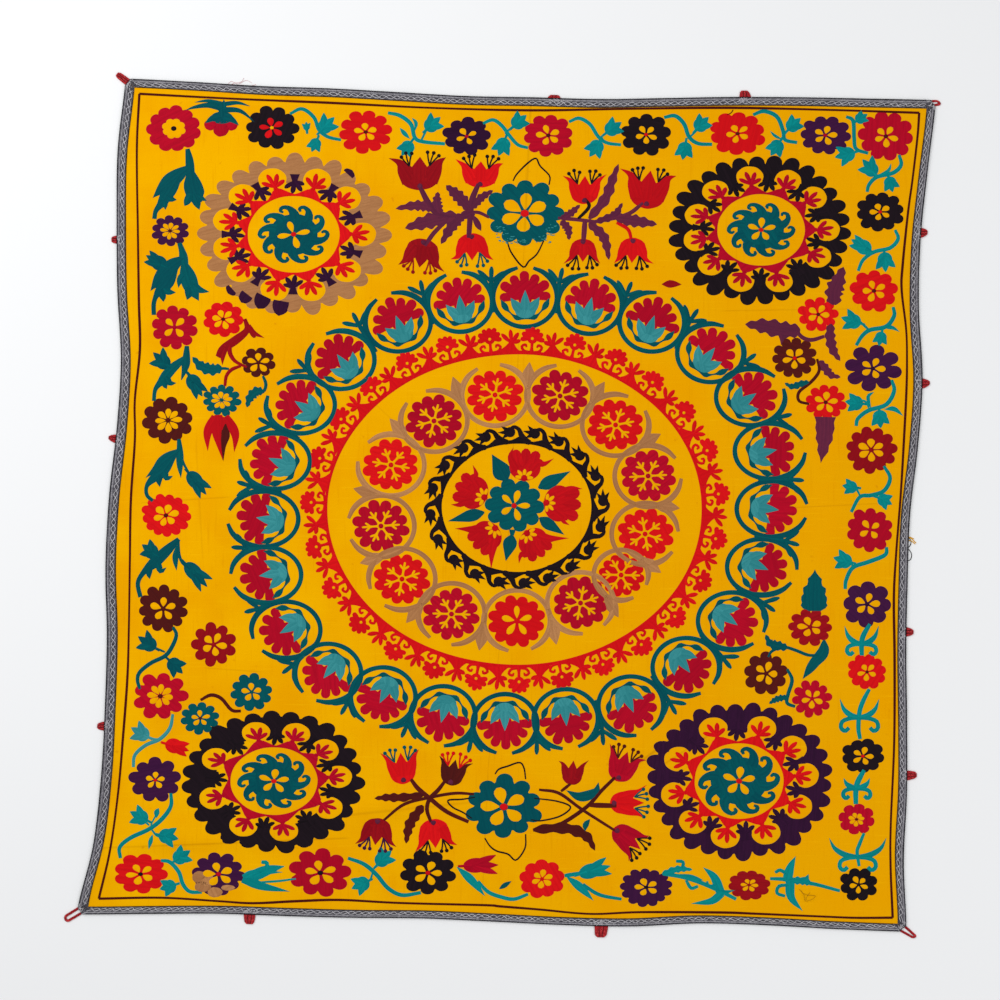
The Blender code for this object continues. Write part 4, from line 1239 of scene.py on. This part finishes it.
BUDS = (
    # thread, photo x and y of the foot, photo x and y of the longest tip
    ("turquoise", 319, 133, 334, 117), ("turquoise", 307, 131, 306, 122), ("turquoise", 318, 138, 312, 152),
    ("turquoise", 425, 131, 440, 117), ("turquoise", 412, 141, 402, 156),
    ("turquoise", 512, 128, 526, 115), ("turquoise", 506, 137, 499, 156),
    ("turquoise", 605, 134, 621, 122), ("turquoise", 601, 140, 590, 157),
    ("turquoise", 695, 131, 708, 117), ("turquoise", 686, 141, 683, 160),
    ("turquoise", 787, 131, 800, 118), ("turquoise", 781, 140, 771, 156),
    ("turquoise", 855, 122, 867, 114), ("turquoise", 856, 152, 835, 158),
    ("turquoise", 877, 176, 862, 160), ("turquoise", 888, 176, 893, 192),
    ("turquoise", 872, 252, 851, 240), ("turquoise", 884, 251, 886, 272),
    ("turquoise", 862, 324, 841, 318), ("turquoise", 882, 331, 879, 346),
    ("turquoise", 864, 404, 845, 402), ("turquoise", 879, 409, 881, 428),
    ("turquoise", 858, 488, 842, 486), ("turquoise", 877, 497, 892, 504),
    ("turquoise", 853, 563, 833, 558), ("turquoise", 376, 866, 391, 850),
    ("turquoise", 370, 880, 352, 889), ("turquoise", 173, 862, 190, 850),
    ("turquoise", 177, 884, 160, 889.5), ("turquoise", 577, 875, 610, 865),
    ("turquoise", 149, 821, 130, 812), ("turquoise", 158, 834, 179, 838), ("pale_teal", 150, 738, 131, 728),
    ("teal", 168, 268, 146, 256), ("teal", 170, 368, 153, 353), ("teal", 188, 374, 203, 396),
    ("teal", 187, 471, 207, 494), ("teal", 158, 556, 142, 545), ("teal", 184, 562, 208, 586),
    ("teal", 157, 649, 138, 637), ("teal", 168, 659, 183, 673),
    ("scarlet", 164, 743, 189, 750), ("crimson", 461, 866, 498, 864),
)
CORNER_SPRAY = (
    # half width, places along it by photo pixel
    (3.2, ((226, 110), (210, 105.5), (196, 107), (185, 110.5))),
    (2.4, ((222, 104), (208, 101), (194.5, 102.5))),
    (2.4, ((226, 104), (238, 103), (250.5, 106.5))), (3.0, ((222, 110), (240, 111), (255, 122.5))),
    (2.6, ((224, 108), (224, 99.5))), (4.6, ((222, 102), (222, 112), (222, 119))),
    (4.6, ((220, 117), (212, 119), (205, 123.5))), (4.6, ((224, 117), (232, 120), (239, 125.5))),
)
for photo_x, photo_y, across, up in ((210.5, 125.0, 6.4, 5.6), (221.0, 129.5, 8.0, 7.4),
                                     (231.5, 125.0, 6.6, 5.8)):
    polar("crimson", spot(photo_x, photo_y), oval(across, up, 0.04), segments=24)


def bud(thread, foot_x, foot_y, tip_x, tip_y):
    """A small round bud that opens in three points."""
    long = math.hypot(tip_x - foot_x, tip_y - foot_y)
    plane = spot(foot_x, foot_y, bearing((foot_x, foot_y), (tip_x, tip_y)) - 90.0)
    stroke(thread, plane, [(0.0, -3.0), (0.0, 0.3 * long)], (1.3, 1.5, 2.4))
    polar(thread, within(plane, 0.0, 0.40 * long), oval(min(0.39 * long, 7.6), 0.35 * long), segments=24)
    lean = 44.0 if long < 24.0 else 22.0
    rays(thread, within(plane, 0.0, 0.34 * long), 0.0, min(0.19 * long, 3.6),
         ((-lean, 0.68 * long), (-2.0, 0.66 * long), (lean, 0.66 * long)), widths=(0.8, 1.2, 1.1, 0.75, 0.1))


HORNED_PLANTS = (
    # photo x and y of a plant's fork, half width and height of its horns, half width of its curls
    (861.5, 643.0, 17.0, 17.0, 14.5), (859.4, 716.5, 19.5, 17.5, 18.5), (856.6, 787.5, 13.0, 9.5, 13.5),
    (857.6, 856.0, 28.5, 18.0, 18.0),
)


def horned_plant(photo_x, photo_y, out, up, curl):
    plant = spot(photo_x, photo_y)
    for side in (-1.0, 1.0):
        stroke("turquoise", plant, [(0.0, -1.0), (side * 0.42 * out, 0.06 * up),
                                    (side * 0.8 * out, 0.42 * up),
                                    (side * out, up)], (2.2, 3.0, 2.9, 1.8, 0.1))
        stroke("turquoise", plant, [(0.0, -1.5), (side * 0.5 * curl, -0.1 * curl),
                                    (side * 0.92 * curl, -0.26 * curl),
                                    (side * curl, -0.6 * curl), (side * 0.78 * curl, -0.78 * curl),
                                    (side * 0.56 * curl, -0.6 * curl)], (1.8, 2.2, 2.3, 2.3, 2.3, 2.1))


for row in HORNED_PLANTS:
    horned_plant(*row)
for thread, form, half_width, places in VINES:
    stroke(thread, at, list(places), scaled(form, half_width),
           steps=30 if len(form) == len(TOOTHED) else None)
for row in BUDS:
    bud(*row)
for half_width, places in CORNER_SPRAY:
    stroke("teal", at, list(places), scaled(HORN, half_width))
polar("teal", spot(222.0, 118.0), oval(11.5, 6.4), segments=32)
sew_down("vines")


# The bouquets over and under the chains: tulips with stamens, worked in reds, on plum or brown
# stems with toothed leaves, either side of a large teal rosette in a thin drawn frame.
BOUQUET_STEMS = (
    # thread, form, half width, places along it by photo pixel
    ("plum", STEM, 3.2, ((420, 187), (429, 204), (439, 215), (456, 217))),
    ("plum", TOOTHED_BACK, 5.4, ((395.7, 209), (412, 206), (423, 206), (433, 209))),
    ("plum", TOOTHED_BACK, 5.2, ((438, 192), (437, 203), (440, 214))),
    ("plum", TOOTHED_BACK, 8.0, ((405, 228.5), (430, 221), (457, 216))),
    ("plum", STEM, 2.4, ((425, 246), (434, 233), (449, 218))),
    ("plum", TOOTHED_BACK, 6.0, ((441, 244), (452, 226), (463, 215))),
    ("plum", TOOTHED_BACK, 6.4, ((446, 185.5), (458, 196), (470, 209))),
    ("plum", TOOTHED_BACK, 4.4, ((493, 190.5), (481, 198), (472, 208))),
    ("plum", STEM, 3.2, ((478.5, 184), (472, 200), (470.6, 212), (468.7, 238))),
    ("plum", STEM, 4.6, ((462, 216), (474, 212))),
    ("plum", BUD, 3.4, ((473, 215), (477, 223), (481, 231))),
    ("plum", STEM, 1.8, ((472, 212), (480, 213), (489, 217.5))),
    ("plum", STEM, 2.0, ((558, 218), (575, 219.5), (597, 222))),
    ("plum", TOOTHED, 4.0, ((561, 219), (571, 213), (580, 205))),
    ("black", STEM, 1.9, ((585, 198.4), (589, 207), (578, 219))),
    ("plum", TOOTHED, 5.4, ((589, 219), (605, 199), (612, 181), (618.5, 164))),
    ("plum", TOOTHED, 4.0, ((596, 222), (614, 215), (622.5, 203))),
    ("plum", TOOTHED, 6.4, ((616, 218), (635, 221), (657, 224.5))),
    ("plum", STEM, 2.2, ((643, 203), (626, 215), (591, 222.5))),
    ("plum", STEM, 2.8, ((585, 220), (583.4, 242))),
    ("plum", TOOTHED, 4.4, ((561, 221), (568, 229), (569, 240))),
    ("plum", TOOTHED, 5.2, ((589, 223), (604, 238), (609, 260))),
    ("scarlet", STEM, 1.9, ((616.5, 222.7), (628, 229.5), (631.5, 241))),
    ("claret", LEAF, 4.0, ((661.5, 284.4), (671, 284.0), (681.5, 284.6))),
    ("black", STEM, 0.9,
     ((513, 181), (517, 174), (528, 163), (536, 158.5), (540, 166), (549.5, 176), (549, 185))),
    ("black", STEM, 0.9, ((507, 241), (511.5, 253), (523, 267), (529, 261), (537, 254), (543.6, 241))),
    ("brown", STEM, 2.4, ((411, 779), (418, 788), (430, 798), (447, 811.4), (468.5, 821.6))),
    ("brown", STEM, 2.2, ((445, 781), (438, 790), (430, 798), (427, 809), (431, 822))),
    ("brown", STEM, 1.7, ((383.8, 820), (404, 804), (430, 797), (455, 793), (474, 794))),
    ("brown", TOOTHED_BACK, 4.4, ((374.5, 798), (387, 797), (402, 797), (424, 794.5))),
    ("brown", TOOTHED_BACK, 5.4, ((406, 843.5), (410, 824), (423, 805))),
    ("brown", STEM, 1.7, ((539, 789.5), (559, 793), (582, 809.4), (617, 831.8))),
    ("brown", STEM, 2.1, ((533, 830), (557, 825.7), (586, 807.3), (601, 791), (615, 777))),
    ("brown", STEM, 2.7, ((590, 805), (616.5, 805.7))),
    ("brown", STEM, 1.6, ((561, 791), (570.5, 783.5))),
    ("brown", TOOTHED, 5.8, ((533, 829.8), (565, 828), (586, 836), (595, 850.5))),
    ("teal", LEAF, 5.4, ((566, 790), (580, 796.5), (595, 792), (598.5, 782))),
    ("teal", LEAF, 3.2, ((590, 819), (585.5, 825), (585, 831))),
    ("black", STEM, 0.9, ((495, 774), (499, 769), (508, 766), (519.5, 762.4), (524, 768), (525.6, 779))),
    ("black", STEM, 0.9, ((475, 797), (462, 799), (448, 800), (453, 807), (463, 812), (472, 818))),
    ("black", STEM, 0.9, ((534, 798), (557, 801), (570.5, 807), (560, 816), (541, 820.6), (531, 819.6))),
    ("black", STEM, 0.9,
     ((484.8, 838), (490, 846), (497, 851), (508, 854), (516, 860), (525, 848), (525.6, 834))),
)
GARDEN_TULIPS = (
    # thread, photo x and y of the foot, turn of the axis, half width over the tips, height, stamens
    ("claret", 420.0, 190.0, 91.0, 30.0, 33.0, "black"),
    ("scarlet", 480.0, 187.5, 89.0, 25.0, 26.0, "black"),
    ("claret", 424.0, 239.0, -98.0, 24.0, 29.0, "claret"),
    ("scarlet", 471.5, 233.5, -88.0, 22.0, 27.0, "teal"),
    ("scarlet", 584.5, 204.0, 90.0, 21.0, 28.0, "black"),
    ("madder", 646.0, 208.5, 84.0, 28.0, 38.0, "black"),
    ("madder", 583.0, 239.0, -90.0, 18.5, 23.0, "black"),
    ("scarlet", 633.0, 238.0, -92.0, 20.0, 25.0, "black"),
    ("scarlet", 404.0, 783.5, 97.0, 20.0, 31.0, "teal"),
    ("brown", 450.0, 785.0, 78.0, 17.0, 26.0, "scarlet"),
    ("claret", 378.0, 818.0, -95.0, 21.0, 27.0, "violet"),
    ("scarlet", 433.0, 819.0, -84.0, 22.0, 29.0, "black"),
    ("claret", 571.5, 784.5, 86.0, 15.0, 24.0, "brown"),
    ("crimson", 617.5, 781.0, 72.0, 20.0, 31.0, "brown"),
    ("scarlet", 610.0, 803.0, 1.0, 17.0, 34.0, "teal"),
    ("crimson", 614.0, 828.0, -38.0, 17.0, 34.0, "black"),
)
BARE_TULIP = 12


def garden_tulip(thread, foot_x, foot_y, turn, wide, high, stamens):
    """A wide tulip from the side: a round cup, a pointed middle and two long outer tips."""
    plane = spot(foot_x, foot_y, turn - 90.0)
    polar(thread, within(plane, 0.0, 0.36 * high), oval(0.66 * wide, 0.37 * high, 0.02), segments=48)
    stroke(thread, plane, [(0.0, 0.25 * high), (0.0, 0.66 * high), (0.02 * wide, high)],
           (0.50 * wide, 0.38 * wide, 0.20 * wide, 0.0))
    for side in (-1.0, 1.0):
        tip = wide * random.uniform(0.86, 1.08)
        stroke(thread, plane, [(side * 0.30 * wide, 0.30 * high), (side * 0.50 * wide, 0.60 * high),
                               (side * 0.68 * wide, 0.84 * high),
                               (side * tip, high * random.uniform(0.92, 1.08))],
               (0.34 * wide, 0.27 * wide, 0.12 * wide, 0.0))
    if stamens is None:
        return
    for side in (-1.0, 1.0):
        tuft = within(plane, side * 0.34 * wide, 0.72 * high, 90.0 - 16.0 * side)
        for lean in (-27.0, -2.0, 24.0):
            long = random.uniform(11.5, 14.0)
            thread_end = within(tuft, 0.0, 0.0, lean)
            stroke(stamens, thread_end, [(0.0, 0.0), (long / 2, 0.4), (long, 0.0)], (0.8, 0.8, 0.8), 1)
            polar(stamens, within(thread_end, long, 0.0), even(2.0), level=1, segments=8)
    polar("plum", within(plane, 0.0, 0.12 * high), oval(2.9, 2.6, 0.1), level=2, segments=10)


for thread, form, half_width, places in BOUQUET_STEMS:
    stroke(thread, at, list(places), scaled(form, half_width),
           steps=30 if len(form) == len(TOOTHED) else None)
for number, row in enumerate(GARDEN_TULIPS):
    garden_tulip(*row[:6], None if number == BARE_TULIP else row[6])
for _ in range(150):
    crease_shade_and_wear = spot(524.7 + random.uniform(-30.0, 30.0), 213.5 + random.uniform(11.0, 30.0))
    middle_off = math.dist(crease_shade_and_wear(0.0, 0.0), at(524.7, 213.5)) / PIXEL
    if 26.0 < middle_off < 38.0:
        stroke("pale_teal", crease_shade_and_wear, [(0.0, 0.0), (random.uniform(1.0, 2.6), random.uniform(-0.8, 0.8))],
               (0.4, 0.5), 2)
sew_down("bouquets")


# The outline: one couched maroon cord that runs round the field a little inside the edge.
OUTLINE_SIDES = (
    # places along each side by photo pixel
    ((139.5, 94), (235, 99), (330, 103), (430, 108), (530, 110.5), (630, 109), (730, 108), (825, 110),
     (919, 113)),
    ((919, 113), (917.4, 136), (912.4, 179), (907.8, 213), (902.5, 265), (901.5, 290), (906, 330),
     (906.8, 360),
     (906.2, 392), (903.5, 445), (900.5, 495), (896, 553), (893.7, 598), (894.4, 660), (894, 742),
     (890.6, 824), (890.4, 866), (892.5, 917.5)),
    ((892.5, 917.5), (855, 917.6), (819, 916.2), (755, 913.5), (721, 912.3), (640, 912), (590, 913.7),
     (539, 909.3),
     (500, 906.2), (485, 905), (400, 902.8), (340, 899.8), (297, 901), (253, 903), (219, 901), (162, 897.6),
     (99, 898.5)),
    ((99, 898.5), (110, 851), (118, 795), (123, 739), (127.5, 678), (129, 627), (130, 560), (131, 500),
     (135, 440), (135, 400), (140, 350), (139, 300), (138, 230), (137, 150), (139.5, 94)),
)
for places in OUTLINE_SIDES:
    stroke("maroon", at, list(places), (1.3, 1.1, 1.35, 1.05, 1.3, 1.15, 1.4, 1.1, 1.3))
stroke("maroon", at, [(733, 110), (731, 113), (727, 115)], (0.5, 0.5, 0.4))
sew_down("outline")


# The braid: a dark band folded over each edge, its two plies stitched through the cotton. Its
# pale threads run along it in crossing waves, raised a little off the band.
MITRE_GAP = 0.0003
FOLD_RADIUS = (BRAID_HEIGHT - BRAID_PLY) / 2
BRAID_STEPS = 240
FOLD_STEPS = 6
STRAND_STEP = 0.0032
STRANDS = (
    # thread, wave length, depth share it swings about, swing share, phase, half width
    ("pale", 0.0360, 0.61, 0.22, 0.0, 0.00075),
    ("pale", 0.0360, 0.61, 0.22, math.pi, 0.00075),
    ("pale", 0.3100, 0.24, 0.02, 0.9, 0.00055),
    ("grey", 0.2600, 0.15, 0.02, 0.6, 0.00110),
    ("grey", 0.3300, 0.33, 0.02, 2.1, 0.00100),
    ("grey", 0.0310, 0.86, 0.05, 0.0, 0.00070),
    ("dark", 0.4000, 0.05, 0.01, 0.0, 0.00130),
    ("dark", 0.3600, 0.95, 0.01, 0.0, 0.00100),
)


def band_material(name, base, light, dark, ribs):
    """Narrow woven band: ribs run along it, from the UV's second axis."""
    material, tree, shader = principled(name, base, 0.72)
    laid = add(tree, "ShaderNodeUVMap", {"uv_map": "thread"}).outputs[0]
    fine = add(tree, "ShaderNodeMapping", Vector=laid, Scale=(260.0, ribs, 1.0)).outputs[0]
    grain = add(tree, "ShaderNodeTexNoise", Vector=fine, Scale=1.0, Detail=2.0).outputs[0]
    ties = add(tree, "ShaderNodeTexVoronoi", Vector=fine, Scale=0.8).outputs[0]
    colour = mix_colours(tree, between(tree, grain, 0.46, 0.70), base, light)
    colour = mix_colours(tree, between(tree, ties, 0.25, 0.7, 0.0, 0.6), colour, dark)
    tree.links.new(colour, shader.inputs["Base Color"])
    bump = add(tree, "ShaderNodeBump", Strength=0.6, Distance=0.0006, Height=grain)
    tree.links.new(bump.outputs[0], shader.inputs["Normal"])
    return material


BAND_MATERIALS = {
    "band": band_material("braid_band", srgb(78, 76, 82), srgb(138, 136, 142), srgb(30, 28, 34), 420.0),
    "pale": band_material("braid_pale", srgb(204, 202, 206), srgb(228, 226, 228), srgb(150, 148, 154), 900.0),
    "grey": band_material("braid_grey", srgb(120, 118, 126), srgb(158, 156, 162), srgb(70, 68, 74), 900.0),
    "dark": band_material("braid_dark", srgb(20, 18, 22), srgb(40, 38, 44), srgb(8, 8, 10), 900.0),
}


def lay_grid(shape, columns, rows, place):
    """A grid laid where place(column, row) says, which also gives its lengths along and across."""
    uv = shape.loops.layers.uv.get("thread") or shape.loops.layers.uv.new("thread")
    made = bmesh.ops.create_grid(shape, x_segments=columns, y_segments=rows, size=0.5)["verts"]
    laid = {}
    for vertex in made:
        column, row = round((vertex.co.x + 0.5) * columns), round((vertex.co.y + 0.5) * rows)
        vertex.co, laid[vertex] = place(column, row)
    for vertex in made:
        for loop in vertex.link_loops:
            loop[uv].uv = laid[vertex]


def fold_section(depth):
    half = BRAID_PLY / 2
    section = [(depth * (1.0 - step / 6), half) for step in range(6)]
    for step in range(FOLD_STEPS + 1):
        turn = math.pi * step / FOLD_STEPS
        section.append((half + FOLD_RADIUS * (1.0 - math.sin(turn)),
                        half + FOLD_RADIUS * (1.0 - math.cos(turn))))
    section += [(depth * (step + 1) / 6, BRAID_HEIGHT - half) for step in range(6)]
    return section


def thickened(piece, thickness, offset):
    solid = piece.modifiers.new("thickness", "SOLIDIFY")
    solid.thickness = thickness
    solid.offset = offset
    return piece


def braid_band(side):
    span = side_length(side)
    first, last = CORNERS[side][3] / span, CORNERS[(side + 1) % 4][2] / span
    steps = BRAID_STEPS - 2
    stations = [0.0] + [first + (1.0 - first - last) * step / steps for step in range(steps + 1)] + [1.0]
    section = fold_section(braid_width(side))
    run = (corner(side + 1) - corner(side)).normalized()

    def place(column, row):
        inset, height = section[row]
        point = across_braid(side, stations[column], inset)
        point += run * MITRE_GAP * ((column == 0) - (column == BRAID_STEPS))
        return (point.x, point.y, height), (stations[column] * span, inset if row > 9 else -inset)

    shape = bmesh.new()
    lay_grid(shape, BRAID_STEPS, len(section) - 1, place)
    bmesh.ops.recalc_face_normals(shape, faces=shape.faces)
    return shape


def strand(side, wave, middle, swing, phase, half_width):
    """One thread along the braid, swinging from side to side, as a low rounded ridge."""
    span, width = side_length(side), braid_width(side)
    steps = math.ceil(span / STRAND_STEP)
    drift = side * 7.0 + phase

    def depth(share):
        hurry = 0.22 * noise.noise(Vector((share * 40.0, drift, 0.0)))
        swell = 0.85 + 0.3 * noise.noise(Vector((share * 25.0, drift, 5.0)))
        turn = math.tau * (share * span / wave + hurry) + phase
        return width * (middle + swing * math.sin(turn) * swell)

    def place(column, row):
        share = 0.006 + 0.988 * column / steps
        here = across_braid(side, share, depth(share))
        ahead = across_braid(side, share + 0.0005, depth(share + 0.0005))
        out = quarter_turned((ahead - here).normalized())
        offset = (row - 1) * half_width
        lift = half_width * (1.0 if row == 1 else -0.15)
        point = here + out * offset
        return (point.x, point.y, BRAID_HEIGHT + lift), (share * span, offset)

    shape = bmesh.new()
    lay_grid(shape, steps, 2, place)
    return shape


for side in range(4):
    name = "braid_" + SIDES[side]
    band = put(name + "_band", braid_band(side), [BAND_MATERIALS["band"]], [name])
    thickened(band, BRAID_PLY, 0.0)
    for number, (look, *shape_values) in enumerate(STRANDS):
        put(f"{name}_strand_{number}", strand(side, *shape_values), [BAND_MATERIALS[look]])


# The loops: red tape sewn under the braid, to hang the cover by. Most are folded shut and three
# stand open; pale stitches hold each one, and a few dark loose threads are left of a sixteenth.
TAPE_PLY = 0.0012
TAPE_RIDGES = 3
TAPE_RIDGE_RISE = 0.0004
TAB_ROWS = 18
LEG_STEPS = 8
TIP_STEPS = 12
CORD_WIDTH = 0.0050
CORD_THICKNESS = 0.0026
CORD_SIDES = 10
LOOP_READ_LENGTH = 0.012
LOOPS = {
    # side, share of its length, form, width at the foot and at the tip, length, lean in degrees
    "loop_top_left": ("top", 0.0, "tab", 0.0180, 0.0150, 0.0340, -2.0),
    "loop_top_1": ("top", 0.5290, "tab", 0.0320, 0.0200, 0.0080, 10.0),
    "loop_top_2": ("top", 0.7650, "tab", 0.0285, 0.0190, 0.0165, -8.0),
    "loop_top_right": ("right", 0.0, "ring", 0.0180, 0.0170, 0.0160, 26.0),
    "loop_right_1": ("right", 0.1600, "tab", 0.0245, 0.0110, 0.0165, -8.0),
    "loop_right_2": ("right", 0.341, "tab", 0.0250, 0.0090, 0.0190, -6.0),
    "loop_right_3": ("right", 0.640, "tab", 0.0230, 0.0110, 0.0180, 0.0),
    "loop_right_4": ("right", 0.8125, "tab", 0.0240, 0.0140, 0.0240, -4.0),
    "loop_bottom_right": ("bottom", 0.0, "ring", 0.0215, 0.0140, 0.0370, -16.0),
    "loop_bottom_1": ("bottom", 0.3675, "tab", 0.0335, 0.0270, 0.0285, 3.0),
    "loop_bottom_2": ("bottom", 0.7916, "tab", 0.0290, 0.0220, 0.0240, 0.0),
    "loop_bottom_left": ("left", 0.0, "ring", 0.0205, 0.0200, 0.0440, -3.0),
    "loop_left_1": ("left", 0.2263, "tab", 0.0220, 0.0120, 0.0170, -4.0),
    "loop_left_2": ("left", 0.5697, "tab", 0.0210, 0.0080, 0.0180, 4.0),
    "loop_left_3": ("left", 0.8074, "tab", 0.0200, 0.0120, 0.0130, 0.0),
}
LOOP_TAPE = band_material("loop_tape", srgb(178, 34, 40), srgb(214, 84, 84), srgb(104, 16, 24), 700.0)


def loop_seat(side, share):
    """Where a loop is sewn on: its middle, the way along the edge there and the way out."""
    if share == 0.0:
        start, end = cut_point(side, False), cut_point(side, True)
        along = (end - start).normalized()
        return (start + end) / 2, along, quarter_turned(along)
    reach = LOOP_READ_LENGTH / side_length(side)
    start, end = outer_edge(side, share - reach), outer_edge(side, share + reach)
    along = (end - start).normalized()
    return (start + end) / 2, along, quarter_turned(along)


def loop_point(seat, lean, out, along, height):
    """A loop's own (out, along) as a point of the whole, leaning from square as it goes out."""
    middle, edge_way, out_way = seat
    shear = math.tan(math.radians(lean))
    plan = middle + out_way * (out + SEAT_GAP) + edge_way * (along + out * shear)
    return (plan.x, plan.y, height)


def tab(seat, base_width, tip_width, length, lean):
    """A shut loop: ridged tape that runs out, turns over at the tip and runs back on itself."""
    half = TAPE_PLY / 2
    radius = (TAPE_PLY + SEAT_GAP) / 2
    reach = length - radius - half
    leg = [reach * step / LEG_STEPS for step in range(LEG_STEPS)]
    section = [(out, half) for out in leg]
    for step in range(TIP_STEPS + 1):
        turn = math.pi * step / TIP_STEPS
        section.append((reach + radius * math.sin(turn), half + radius * (1.0 - math.cos(turn))))
    section += [(out, half + 2 * radius) for out in reversed(leg)]

    def place(column, row):
        out, height = section[column]
        share = out / length
        past = max(0.0, (share - 0.72) / 0.28)
        width = (base_width + (tip_width - base_width) * share**1.5) * math.sqrt(1.0 - 0.75 * past**2)
        along = width * (row / TAB_ROWS - 0.5)
        if height > half + radius:
            height -= TAPE_RIDGE_RISE * math.cos(math.tau * TAPE_RIDGES * row / TAB_ROWS)
        return loop_point(seat, lean, out, along, height), (out, along)

    shape = bmesh.new()
    lay_grid(shape, len(section) - 1, TAB_ROWS, place)
    return shape


def ring(seat, base_width, tip_width, length, lean):
    """An open loop: a cord that runs out, round the tip and back."""
    base, tip = (base_width - CORD_WIDTH) / 2, (tip_width - CORD_WIDTH) / 2
    reach = length - tip - CORD_WIDTH / 2
    legs = [(reach * step / LEG_STEPS, -base + (base - tip) * step / LEG_STEPS) for step in range(LEG_STEPS)]
    path = list(legs)
    for step in range(TIP_STEPS + 1):
        turn = math.pi * step / TIP_STEPS
        path.append((reach + tip * math.sin(turn), -tip * math.cos(turn)))
    path += [(out, -along) for out, along in reversed(legs)]
    last = len(path) - 1

    def place(column, row):
        before, after = Vector(path[max(column - 1, 0)]), Vector(path[min(column + 1, last)])
        way = (after - before).normalized()
        if column in (0, last):
            way = Vector((1.0 if column == 0 else -1.0, 0.0))
        turn = math.tau * row / CORD_SIDES
        point = Vector(path[column]) + quarter_turned(way) * CORD_WIDTH * (0.14 + 0.64 * math.cos(turn))
        height = CORD_THICKNESS / 2 * (1.0 + math.sin(turn))
        return loop_point(seat, lean, point.x, point.y, height), (0.0015 * column, 0.0004 * row)

    shape = bmesh.new()
    lay_grid(shape, last, CORD_SIDES, place)
    bmesh.ops.remove_doubles(shape, verts=shape.verts, dist=0.00001)
    bmesh.ops.holes_fill(shape, edges=shape.edges)
    bmesh.ops.recalc_face_normals(shape, faces=shape.faces)
    return shape


def loose_thread(shape, points, half_width, height):
    """A fine thread lying along a smooth line, as a low rounded ridge."""
    line = through(points, 4 * len(points))

    def place(column, row):
        way = line[min(column + 1, len(line) - 1)] - line[max(column - 1, 0)]
        way /= max(np.linalg.norm(way), 1e-9)
        side = (row - 1) * half_width
        x, y = line[column] + np.array((-way[1], way[0])) * side
        return (x, y, height + (half_width if row == 1 else -0.2 * half_width)), (0.004 * column, side)

    lay_grid(shape, len(line) - 1, 2, place)


pale_stitches = bmesh.new()
painted_groove_shade = bmesh.new()
for name, (side_name, share, form, *sizes) in LOOPS.items():
    seat = loop_seat(SIDES.index(side_name), share)
    if form == "tab":
        thickened(put(name + "_tape", tab(seat, *sizes), [LOOP_TAPE], [name]), TAPE_PLY, 0.0)
    else:
        put(name + "_tape", ring(seat, *sizes), [LOOP_TAPE], [name])
    # Painted groove shade: two near-black threads are laid along the troughs between each tab's ridges,
    # standing in for the shade there.
    for across in (-0.17, 0.17) if form == "tab" else ():
        groove_shade_line = [loop_point(seat, sizes[3], share * sizes[2], across * sizes[0] * (1.0 - 0.4 * share), 0.0)[:2]
                for share in (0.04, 0.35, 0.65, 0.93)]
        loose_thread(painted_groove_shade, groove_shade_line, 0.0007, 2 * TAPE_PLY + SEAT_GAP)
    middle, edge_way, out_way = seat
    for _ in range(9):
        aside = edge_way * random.uniform(-0.6, 0.6) * sizes[0]
        start = middle + aside - out_way * random.uniform(0.001, 0.005)
        turn = random.uniform(-1.2, 1.2)
        way = edge_way * math.sin(turn) - out_way * math.cos(turn)
        bend = edge_way * random.uniform(-0.002, 0.002)
        long = random.uniform(0.007, 0.014)
        loose_thread(pale_stitches, [start, start + way * long / 2 + bend, start + way * long], 0.0006,
                     BRAID_HEIGHT + 0.0007)
put("loop_stitches", pale_stitches, [BAND_MATERIALS["pale"]])
# The painted groove shade of all the tabs, as one piece.
put("loop_painted_groove_shade", painted_groove_shade, [BAND_MATERIALS["dark"]])

LOOSE_THREADS = (
    # thread, half width in millimetres, places along it by photo pixel
    ("dark", 0.9, ((902, 536), (908, 537), (911, 542), (909, 547), (904, 547))),
    ("dark", 0.9, ((902, 548), (908, 549), (911.5, 554), (910, 560), (903, 561))),
    ("dark", 0.7, ((902, 541), (906, 545), (908, 552), (904, 556))),
    ("tuft", 1.2, ((904, 540), (910, 538), (916, 543))),
    ("tuft", 1.2, ((904, 542), (910, 540.5), (915, 544))),
    ("tuft", 1.0, ((904, 539), (909, 537), (914, 539))),
    ("wisp", 0.35, ((226, 87), (231, 81.5), (238, 84), (246, 80.5), (252, 83))),
    ("wisp", 0.35, ((229, 87.5), (233, 83.5), (241, 82), (244, 78))),
    ("wisp", 0.35, ((236, 88), (241, 85), (249, 86), (256, 84.5))),
    ("scribble", 0.35, ((799, 889), (803, 893), (808, 895), (815, 895.5), (812, 899), (806, 901))),
    ("scribble", 0.35, ((801, 890), (804, 896), (805, 901), (807, 896), (810, 892))),
)
LOOSE_MATERIALS = {
    "dark": BAND_MATERIALS["dark"],
    "tuft": band_material("yellow_tuft", srgb(226, 172, 40), srgb(240, 200, 90), srgb(180, 120, 20), 900.0),
    "scribble": band_material("brown_scribble", srgb(128, 74, 20), srgb(150, 96, 30),
                              srgb(96, 50, 14), 900.0),
    "wisp": band_material("pink_wisp", srgb(214, 150, 150), srgb(230, 180, 180), srgb(180, 110, 110), 900.0),
}
for look, material in LOOSE_MATERIALS.items():
    threads = bmesh.new()
    for row_look, half_width, places in LOOSE_THREADS:
        if row_look == look:
            height = BRAID_HEIGHT + 0.0007 if look == "scribble" else 0.0006
            loose_thread(threads, [at(*place)[:] for place in places], half_width * MM, height)
    put("loose_" + look, threads, [material])
